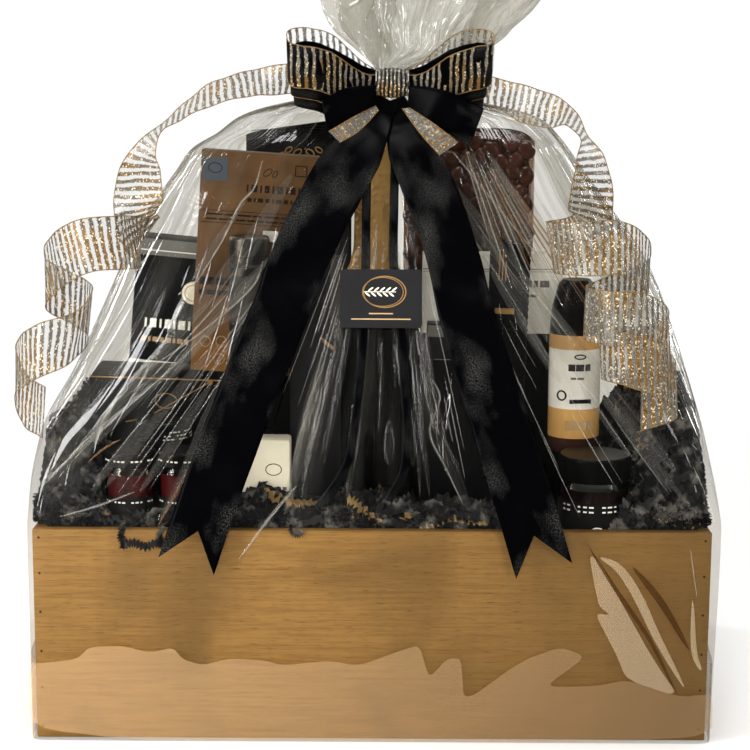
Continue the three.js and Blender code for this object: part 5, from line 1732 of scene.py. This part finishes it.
    def paper(
        self, name: str, middle: np.ndarray, roll: np.ndarray, finish: Finish, width: float,
        level: Point = (0.0, -0.75, 0.65), amplitude: float = 0.0,
    ) -> None:
        """Fold strips of paper like an accordion along their paths.

        Args:
            name: the piece's name.
            middle: the paths, as strips by folds by 3.
            roll: how far each strip is rolled about its path at each fold.
            finish: the paper.
            width: how wide the strips are.
            level: the direction that an unrolled strip faces.
            amplitude: how deep the folds are, or 0 for the usual depth.
        """
        kept = len(middle)
        along = unit(np.gradient(middle, axis=1))
        flat = unit(np.cross(along, level))
        up = np.cross(flat, along)
        across = flat * np.cos(roll)[..., None] + up * np.sin(roll)[..., None]
        out = np.cross(across, along)
        teeth = np.where(np.arange(self.folds + 1) % 2, 1, -1)
        middle = middle + (out * (amplitude or self.amplitude) + across * self.jag) * teeth[None, :, None]
        widths = np.random.default_rng(5).uniform(0.75, 1.15, kept)
        half = (width / 2 * widths)[:, None, None]
        edges = np.stack([middle - across * half, middle + across * half], axis=2)
        row = np.arange(self.folds)
        quad = np.stack([2 * row, 2 * row + 1, 2 * row + 3, 2 * row + 2], axis=1)
        start = np.arange(kept)[:, None, None] * 2 * (self.folds + 1)
        faces = (quad[None] + start).reshape(-1, 4)
        mesh = bpy.data.meshes.new(name)
        mesh.from_pydata(edges.reshape(-1, 3) * MM, [], faces, shade_flat=False)
        mesh.materials.append(finish.material())
        obj = new_object(name, mesh)
        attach(obj, BODY)
        log.info("%s: %d strips, %d faces", name, kept, len(faces))


# Ribbons


class Stuff(Enum):
    """What a ribbon is woven from: its finish, its slot in the record and its cut width in mm."""

    STRIPED = (GLITTER, "striped_ribbon", 38.0)
    LINED = (LOOP_GLITTER, "striped_ribbon", 38.0)
    SATIN = (SATIN_WEAVE, "satin_ribbon", 41.0)
    NARROW = (SATIN_WEAVE, "satin_ribbon", 6.35)


def edge_rows(pairs: Sequence[Sequence[float]], steps: int) -> np.ndarray:
    """Follow a ribbon's two edges smoothly through given pairs of points.

    Args:
        pairs: rows of six numbers, a point on one edge and the point across from it.
        steps: how many rows to make.

    Returns:
        Rows by 2 edges by 3.
    """
    table = np.array(pairs, dtype=float)
    t = np.linspace(0, 1, steps + 1)
    return np.stack([spline(table[:, :3], t), spline(table[:, 3:], t)], axis=1)


def tail_rows(line: Sequence[Sequence[float]], steps: int, clearance: float, wave: float = 0.0) -> np.ndarray:
    """Lay a tail on the wrap's front.

    Args:
        line: its middle line, as rows of x, z and width.
        steps: how many rows to make.
        clearance: how far off the wrap it hangs.
        wave: how far it waves on top of that.

    Returns:
        Rows by 2 edges by 3.
    """
    table = np.array(line, dtype=float)
    t, middle, across = laid_line(line, steps)
    half = np.interp(t, np.linspace(0, 1, len(table)), table[:, 2]) / 2
    lowest = table[:, 1].min()
    edges = []
    for side in (-1, 1):
        q = middle + across * (side * half)[:, None]
        lift = clearance + wave * (1 - np.cos(t * 9 + side)) * smooth((q[:, 2] - lowest) / 60)
        q[:, 1] = wrap_front(q[:, 0], np.minimum(q[:, 2], 440)) - lift
        edges.append(q)
    return np.stack(edges, axis=1)


@dataclass
class Ribbon:
    """A length of ribbon between two edges, with its own soft folds."""

    name: str
    stuff: Stuff
    rows: np.ndarray
    nodes: tuple[str, ...] = ()
    held: str = "hung"
    rests_on: tuple[str, ...] = ("film_tent",)
    columns: int = 8
    waves: tuple[tuple[float, float, float], ...] = ()
    notch: float = 0.0
    tip: float = 0.0

    def grid(self) -> tuple[np.ndarray, np.ndarray]:
        """Lay out the ribbon.

        Returns:
            Its vertices as rows by columns by 3, and how far along it each row is, in mm.
        """
        a, b = self.rows[:, 0], self.rows[:, 1]
        u = np.linspace(0, 1, self.columns + 1)
        middle = (a + b) / 2
        step = np.linalg.norm(np.diff(middle, axis=0), axis=1)
        s = np.concatenate([[0], np.cumsum(step)])
        along = unit(np.gradient(middle, axis=0))
        normal = unit(np.cross(b - a, along))
        grid = a[:, None] * (1 - u)[None, :, None] + b[:, None] * u[None, :, None]
        bulge = np.zeros((len(s), len(u)))
        fade = smooth(s / 25)[:, None] * smooth((s[-1] - s) / 15)[:, None]
        for depth, length, slant in self.waves:
            bulge += depth * fade * np.sin(2 * math.pi * (s[:, None] / length + slant * u[None]))
        grid = grid + normal[:, None] * bulge[..., None]
        if self.notch or self.tip:
            reach = self.tip - (self.tip + self.notch) * (1 - np.abs(2 * u - 1))
            near = smooth((s - (s[-1] - 45)) / 45)
            grid = grid + along[:, None] * (near[:, None] * reach[None])[..., None]
        return grid, s

    def build(self) -> bpy.types.Object:
        """Make the ribbon in its cloth."""
        finish, slot, width = self.stuff.value
        grid, s = self.grid()
        uv = np.stack(np.meshgrid(np.linspace(0, width, grid.shape[1]) * MM, s * MM), axis=2)
        piece = Piece(self.name, slot, *self.nodes)
        piece.add(surface(grid, uv), finish)
        sheer = self.stuff in (Stuff.STRIPED, Stuff.LINED)
        obj = piece.done(sharp=80, solidify=0.0 if sheer else 0.35)
        return obj

    def wires(self, piece: Piece, edges: Sequence[int] = (0, -1), radius: float = 0.36) -> None:
        """Add the wire hem along some edges to a piece of their own."""
        grid, _ = self.grid()
        for line in (grid[:, edge] for edge in edges):
            along = unit(np.gradient(line, axis=0))
            side = unit(np.cross(along, [0.31, 0.87, 0.38]))
            other = np.cross(along, side)
            turn = np.linspace(0, 2 * math.pi, 7)
            ring = side[:, None] * np.cos(turn)[None, :, None] + other[:, None] * np.sin(turn)[None, :, None]
            piece.add(surface(line[:, None] + radius * ring, around=True), GOLD_WIRE)


@dataclass(frozen=True)
class Bow:
    """The bow: three loops a side, its knot and tie, the satin tails, the cut tails and the curls."""

    knot_x: float = 12.8
    knot_y: float = -44.5
    knot_z: float = 465.5
    knot_half: float = 11.8
    left_reach: float = 64.0
    right_reach: float = 60.0
    gap: float = 0.3
    wide_tails: tuple[Line, Line] = (
        (
            (9.0, 454, 15), (0, 438, 27), (-13, 417, 39), (-31, 387, 42), (-54, 340, 41), (-64, 312, 41),
            (-83, 264, 41), (-101, 217, 41), (-117, 172, 41), (-125, 148, 41),
        ),
        (
            (14.5, 454, 15), (20, 438, 25), (27, 418, 35), (37.5, 396, 38), (48, 370, 37), (57, 342, 38),
            (66, 305, 39), (79, 264, 40), (95, 214, 41), (110, 166, 41), (116, 146, 41),
        ),
    )
    narrow_ribbons: tuple[Line, Line] = (
        (
            (2, 435), (-4, 417), (-5.5, 380), (-5.7, 337), (-7.1, 294), (-8.5, 272), (-12.3, 233),
            (-18, 203.5), (-38, 172),
        ),
        (
            (12.4, 435), (14.6, 417), (14.4, 380), (14.3, 337), (20, 289), (22.6, 251), (23.9, 233),
            (21.7, 199), (11, 178),
        ),
    )
    curl_routes: tuple[Line, Line] = (
        (
            (-6, -29, 470, -6, -29, 461), (-34, -25, 481, -34, -27, 460), (-63, -27, 479, -64, -40, 457),
            (-102, -38, 471, -96, -72, 455), (-123, -42, 463, -120, -76, 448),
            (-138, -46, 451, -137, -80, 440), (-158, -56, 433, -153, -91, 429),
            (-173, -66, 421, -155, -96, 414), (-184, -76, 402, -152, -99, 404),
            (-187, -84, 381, -150, -103, 384), (-184.5, -85, 358, -157, -87, 373.5),
            (-178, -73.5, 341.5, -155, -79.5, 368.5), (-166.5, -93, 335, -170, -97, 371.5),
            (-177, -127, 337, -180, -126, 374), (-196, -134, 336, -205, -132, 372),
            (-220, -118, 323, -227, -116, 359), (-236, -92, 303, -236, -90, 340),
            (-220, -84, 292, -218, -84, 329), (-203, -112, 285, -200, -110, 322),
            (-213, -145, 272, -207, -144, 309), (-235, -148, 262, -234, -146, 300),
            (-255, -123, 244, -253, -122, 281), (-250, -118, 224, -247, -118, 261),
            (-232, -142, 219, -229, -142, 255),
        ),
        (
            (31, -29, 470, 31, -29, 461), (62, -24, 475, 60, -29, 457), (94, -28, 468, 91, -42, 447),
            (114, -35, 463, 107, -62, 438), (134, -46, 456, 125, -76, 435), (146, -58, 446, 137, -92, 437),
            (154, -68, 430, 145, -104, 428), (165, -82, 414, 142, -112, 414),
            (170, -92, 393, 139, -114, 396), (170, -94, 370, 137, -112, 380),
            (164, -92, 347, 142, -100, 375), (146, -96, 338, 138, -96, 372),
            (126, -122, 336, 121, -118, 371), (147, -150, 337, 143, -148, 374),
            (169, -154, 338, 168, -152, 375), (190, -130, 325, 191, -128, 361),
            (193, -110, 308, 195, -110, 344), (168, -126, 299, 168, -124, 335),
            (146, -142, 293, 148, -138, 328), (162, -168, 291, 162, -163, 328),
            (187, -166, 290, 187, -162, 326), (207, -145, 273, 206, -140, 309),
            (189, -134, 263, 190, -130, 299), (158, -151, 266, 156, -147, 303),
            (174, -174, 264, 170, -172, 301), (195, -170, 256, 194, -168, 293),
            (212, -150, 238, 210, -148, 273), (187, -150, 228, 187, -146, 262),
        ),
    )

    def loop_rows(self, start_x: float, reach: float, layer: int, side: int, steps: int = 64) -> np.ndarray:
        """Trace one loop, out of the knot in front, round its outer turn and back behind."""
        lean = np.array([0, -0.6, 0.8])
        depth_axis = np.array([0, 0.8, 0.6])
        nest = 1.5 * layer
        out = reach - 2.4 * layer
        line = np.array([
            [0, nest], [0.3, nest - 6], [0.68, nest - 8], [0.95, nest - 4], [1, 3.4], [0.94, 12 - nest],
            [0.66, 14 - nest], [0.3, 11.5 - nest], [0, 7.4 - nest],
        ])
        points = np.column_stack([line[:, 0] * out, line[:, 1], 0 * line[:, 0]])
        p = spline(points, np.linspace(0, 1, steps + 1))
        grown = smooth(p[:, 0] / 34)
        width = 11 + (Stuff.STRIPED.value[2] - 11) * grown
        middle = np.column_stack([
            start_x + side * p[:, 0],
            self.knot_y - 2.5 - 23 * smooth(p[:, 0] / 45),
            self.knot_z + 1.5 + 14 * smooth(p[:, 0] / 50),
        ])
        middle = middle + depth_axis * p[:, 1:2] + lean * (-11 * layer * grown)[:, None]
        return np.stack([middle + lean * (end * width / 2)[:, None] for end in (-1, 1)], axis=1)

    def build(self) -> None:
        """Make every part of the bow."""
        wired = Piece("bow_wire_edges", "striped_ribbon")
        self.loops(wired)
        self.knot()
        self.tails()
        self.short_ribbons(wired)
        self.curls(wired)
        wired.done(sharp=80)

    def loops(self, wired: Piece) -> None:
        """Make the three loops on each side, the striped one lined with satin along its front."""
        kinds = (("striped", Stuff.LINED), ("satin", Stuff.SATIN), ("satin_low", Stuff.SATIN))
        for layer, (kind, stuff) in enumerate(kinds):
            for side, word in ((-1, "left"), (1, "right")):
                start = self.knot_x + side * (self.knot_half + self.gap)
                reach = self.left_reach if side < 0 else self.right_reach
                rows = self.loop_rows(start, reach, layer, side)
                node = f"loop_{kind}_{word}"
                ribbon = Ribbon(
                    f"{node}_ribbon", stuff, rows, (node,), "folded", ("bow_knot_ribbon",),
                    waves=((0.5, 31.0, 0.3), (0.25, 13.0, -0.4)),
                )
                ribbon.build()
                if layer < 2:
                    ribbon.wires(wired, (0, -1) if layer == 0 else (0,))
                if layer == 0:
                    lining = rows[:30] + np.array([0, 0.7, 0.2])
                    name = f"loop_lining_{word}_ribbon"
                    Ribbon(name, Stuff.SATIN, lining, (), "folded", (f"{node}_ribbon",)).build()

    def knot(self) -> None:
        """Wind the striped ribbon over the neck: a band drawn into upright creases."""
        count, across = 64, 33
        angle = np.linspace(0, 2 * math.pi, count + 1)[:, None]
        u = np.linspace(-1, 1, across)[None]
        power = 3.0
        reach = (np.abs(np.cos(angle)) ** power + np.abs(np.sin(angle)) ** power) ** (-1 / power)
        crease = 0.9 * np.abs(np.sin(7.3 * u + 0.6 * np.sin(angle * 2)))
        crease = crease + 0.4 * np.sin(17 * u + 3 * np.cos(angle))
        swell = 1 - 0.16 * np.abs(u) ** 3
        half_x, half_y, half_z = 11.6, 10.0, 11.2
        y = -0.6 - reach * np.cos(angle) * (half_y * swell - crease)
        z = reach * np.sin(angle) * (half_z * (1 - 0.2 * np.abs(u) ** 2.4) - 0.5 * crease)
        x = np.broadcast_to(u * half_x, y.shape)
        grid = np.stack([x, y, z], axis=2)
        round_it, over_it = 0.07, 0.023
        uv = np.meshgrid(np.linspace(0, over_it, across), np.linspace(0, round_it, count + 1))
        uv = np.stack(uv, axis=2)[..., ::-1]
        bm = surface(grid.transpose(1, 0, 2), uv.transpose(1, 0, 2), around=True)
        place = placed(self.knot_x, self.knot_y, self.knot_z)
        Piece("bow_knot_ribbon", "striped_ribbon", "bow_knot").add(bm, KNOT_GLITTER, place).done(sharp=80)
        tie = [(12.2, 460), (13.3, 460), (13.6, 460.4), (13.6, 465.6), (13.3, 466), (12.2, 466), (12.2, 460)]
        piece = Piece("neck_tie_ribbon", "satin_ribbon", "neck_tie")
        piece.add(lathe(tie, 48), SATIN_WEAVE, placed(12.5, -14, 0)).done()

    def tails(self) -> None:
        """Hang the wide satin tails with their swallowtail ends, and the narrow ribbons between them."""
        for word, wide, narrow in zip(("left", "right"), self.wide_tails, self.narrow_ribbons):
            Ribbon(
                f"satin_tail_{word}_ribbon", Stuff.SATIN, tail_rows(wide, 150, 4.2, 1.2),
                (f"satin_tail_{word}",), columns=14, notch=9, tip=18,
                waves=((1.0, 74.0, 0.45), (0.6, 41.0, -0.7)),
            ).build()
            line = [(x, z, Stuff.NARROW.value[2]) for x, z in narrow]
            Ribbon(
                f"narrow_ribbon_{word}_band", Stuff.NARROW, tail_rows(line, 90, 2.0),
                (f"narrow_ribbon_{word}",), columns=3,
            ).build()

    def short_ribbons(self, wired: Piece) -> None:
        """Make the drooping satin folds and the short cut tails of striped ribbon."""
        table = {
            "satin_fold_left": (
                Stuff.SATIN, 30,
                ((1, -54, 464, 1, -53, 448), (-21, -66, 462, -17, -64, 440), (-38, -70, 453, -34, -66, 429)),
            ),
            "satin_fold_right": (
                Stuff.SATIN, 36,
                (
                    (25, -54, 464, 24, -53, 448), (45, -66, 462, 35, -66, 437), (66, -70, 455, 55, -70, 429),
                    (79, -70, 448, 69, -70, 421),
                ),
            ),
            "short_tail_left": (
                Stuff.STRIPED, 24,
                (
                    (1, -57, 449, 3, -58, 446), (-16, -71, 441, -12, -72, 431),
                    (-33, -71, 431, -25, -74, 423.5),
                ),
            ),
            "short_tail_right": (
                Stuff.STRIPED, 30,
                ((25, -60, 448, 20, -60, 447.5), (43, -77, 437, 34, -77, 429), (60, -80, 424, 47, -80, 415)),
            ),
        }
        for node, (stuff, steps, pairs) in table.items():
            ribbon = Ribbon(
                f"{node}_ribbon", stuff, edge_rows(pairs, steps), (node,), "folded", ("bow_knot_ribbon",),
                waves=((0.5, 23.0, 0.4),),
            )
            ribbon.build()
            if stuff is Stuff.STRIPED:
                ribbon.wires(wired)

    def curls(self, wired: Piece) -> None:
        """Make the wired ribbons that spring from the bow and corkscrew down over the film."""
        for word, pairs, steps in zip(("left", "right"), self.curl_routes, (300, 340)):
            ribbon = Ribbon(
                f"curl_{word}_ribbon", Stuff.STRIPED, edge_rows(pairs, steps), (f"curl_ribbon_{word}",),
                "hung", ("film_tent", "bow_knot_ribbon"), waves=((0.4, 26.0, 0.5),),
            )
            ribbon.build()
            ribbon.wires(wired)


@dataclass(frozen=True)
class GiftTag:
    """The black card tag, with a leafy sprig in a plain gold oval and pale rules in place of print."""

    width: float = 58.0
    height: float = 42.5
    corner: float = 2.5
    thick: float = 0.8
    x: float = 5.3
    y: float = -117.5
    z: float = 316.0
    leans_back: float = 21.0
    oval_z: float = 4.8

    def build(self) -> None:
        """Make the card and its print."""
        bm = bmesh.new()
        bmesh.ops.create_cube(bm, size=1.0)
        bmesh.ops.scale(bm, vec=(self.width, self.thick, self.height), verts=bm.verts)
        upright = [e for e in bm.edges if abs(e.verts[0].co.y - e.verts[1].co.y) > 0.1]
        bmesh.ops.bevel(
            bm, geom=upright, offset=self.corner, offset_type="OFFSET", segments=5, profile=0.5,
            affect="EDGES", material=-1,
        )
        place = placed(self.x, self.y, self.z, -self.leans_back, "X")
        piece = Piece("gift_tag_card", "black_card", "gift_tag")
        piece.add(bm, CARD_BLACK, place)
        face = -self.thick / 2
        for x, z, wide, tall, line, shape, finish in (
            (2.5, self.oval_z, 31, 23.5, 0.8, Shape.OVAL, GOLD_INK),
            (1.3, self.oval_z, 29.5, 21.5, 0.5, Shape.OVAL, GOLD_INK),
            (-1, self.oval_z, 23, 0.5, 0, Shape.BAR, CREAM_PAPER),
            (0, -11.0, 17, 0.9, 0, Shape.BAR, TAN_INK), (0, -15.0, 42, 0.9, 0, Shape.BAR, TAN_INK),
        ):
            piece.add(mark(shape, wide, tall, line), finish, place @ placed(x, face, z))
        for k in range(10):
            side = 1 if k % 2 else -1
            at = placed(-9.5 + 2.1 * k, face, self.oval_z + 1.9 * side, -38 * side)
            piece.add(mark(Shape.OVAL, 4.6, 1.25), CREAM_PAPER, place @ at)
        piece.done()


# The studio


@dataclass(frozen=True)
class Studio:
    """A plain pale floor, soft lamps and the camera at the photograph's angle."""

    camera: Point = (0.0, -1.427, 0.492)
    pitch: float = 10.0
    yaw: float = 0.06
    roll: float = 0.34
    lens: float = 89.57
    look_at: Point = (0.0, 0.0, 0.28)

    def build(self) -> None:
        """Make the floor, the lamps, the sky and the camera."""
        self.floor()
        self.sky()
        self.lamp("key", (-0.85, -0.62, 0.62), (0.2, 0.9), 8.0)
        self.lamp("wash", (-1.7, -1.3, 0.35), (0.5, 0.5), 13.0, glare=False)
        self.lamp("front", (-0.25, -1.7, 0.4), (0.6, 0.4), 14.0, glare=False)
        self.lamp("side", (0.75, -1.5, 0.7), (0.5, 0.5), 10.0, glare=False)
        self.lamp("fill", (1.5, -1.1, 0.9), (0.15, 1.0), 2.5)
        self.lamp("top", (0.1, -0.1, 2.0), (1.0, 0.7), 19.0)
        self.lamp("rim_left", (-1.3, 0.9, 1.1), (0.12, 1.2), 8.0)
        self.lamp("rim_right", (1.3, 0.9, 1.0), (0.12, 1.2), 7.0)
        self.view()
        bpy.context.scene.view_settings.view_transform = "Standard"

    def floor(self) -> None:
        """Lay the floor."""
        bm = bmesh.new()
        bmesh.ops.create_grid(bm, x_segments=2, y_segments=2, size=6.0)
        mesh = bpy.data.meshes.new("studio_floor")
        bm.to_mesh(mesh)
        bm.free()
        mesh.materials.append(PaleFloor("pale_floor_paper").material())
        new_object("studio_floor", mesh)

    def sky(self) -> None:
        """Light the room evenly, paler for what is seen than for what is mirrored."""
        world = bpy.data.worlds.new("studio")
        bpy.context.scene.world = world
        world.use_nodes = True
        tree = world.node_tree
        tree.nodes.clear()
        path = add(tree, "LightPath")
        apart = add(tree, "SeparateXYZ", [add(tree, "TexCoord").outputs["Generated"]])
        up = add(tree, "MapRange", [apart.outputs["Z"], -0.1, 0.9, 0.02, 0.14])
        back = add(tree, "MapRange", [apart.outputs["Y"], 0.2, 0.7, 0, 0.6])
        glow = add(tree, "Math", [up, back], operation="ADD")
        seen = add(tree, "Background", {"Color": linear("#ffffff"), "Strength": 1.02})
        lit = add(tree, "Background", {"Color": linear("#fbfaf7"), "Strength": 0.3})
        mirrored = add(tree, "Background", {"Color": linear("#f2f0ea"), "Strength": glow})
        first = add(tree, "MixShader", [path.outputs["Is Glossy Ray"], lit, mirrored])
        both = add(tree, "MixShader", [path.outputs["Is Camera Ray"], first, seen])
        add(tree, "OutputWorld", {"Surface": both})

    def lamp(
        self, name: str, at: Point, size: tuple[float, float], power: float, glare: bool = True
    ) -> None:
        """Hang a soft box that looks at the middle of the basket. Without glare, nothing mirrors it."""
        data = bpy.data.lights.new(name, "AREA")
        data.shape = "RECTANGLE"
        data.size, data.size_y = size
        data.energy = power
        obj = new_object(name, data)
        obj.visible_glossy = glare
        obj.location = at
        obj.rotation_euler = (Vector(self.look_at) - Vector(at)).to_track_quat("-Z", "Y").to_euler()

    def view(self) -> None:
        """Stand the camera where the photograph was taken."""
        data = bpy.data.cameras.new("camera")
        data.lens = self.lens
        data.sensor_width = 36.0
        data.clip_end = 50.0
        obj = new_object("camera", data)
        turn = placed(*self.camera, -self.yaw, "Z") @ placed(0, 0, 0, 90 - self.pitch, "X")
        obj.matrix_world = turn @ placed(0, 0, 0, self.roll, "Z")
        bpy.context.scene.camera = obj


def write_sizes() -> None:
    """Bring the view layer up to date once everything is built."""
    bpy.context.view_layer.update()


def main() -> None:
    """Build the basket from the crate up, and then the studio round it."""
    logging.basicConfig(level=logging.INFO, format="%(message)s")
    bpy.context.scene.cycles.transparent_max_bounces = 24
    parts: tuple[Any, ...] = (
        Crate(), FilmWrap(), *PACKS, Pouches(), Bottle(), RoundPacks(), Shred(), Bow(), GiftTag(), Studio(),
    )
    for part in parts:
        log.info("building %s", type(part).__name__)
        part.build()
    write_sizes()


if __name__ == "__main__":
    main()
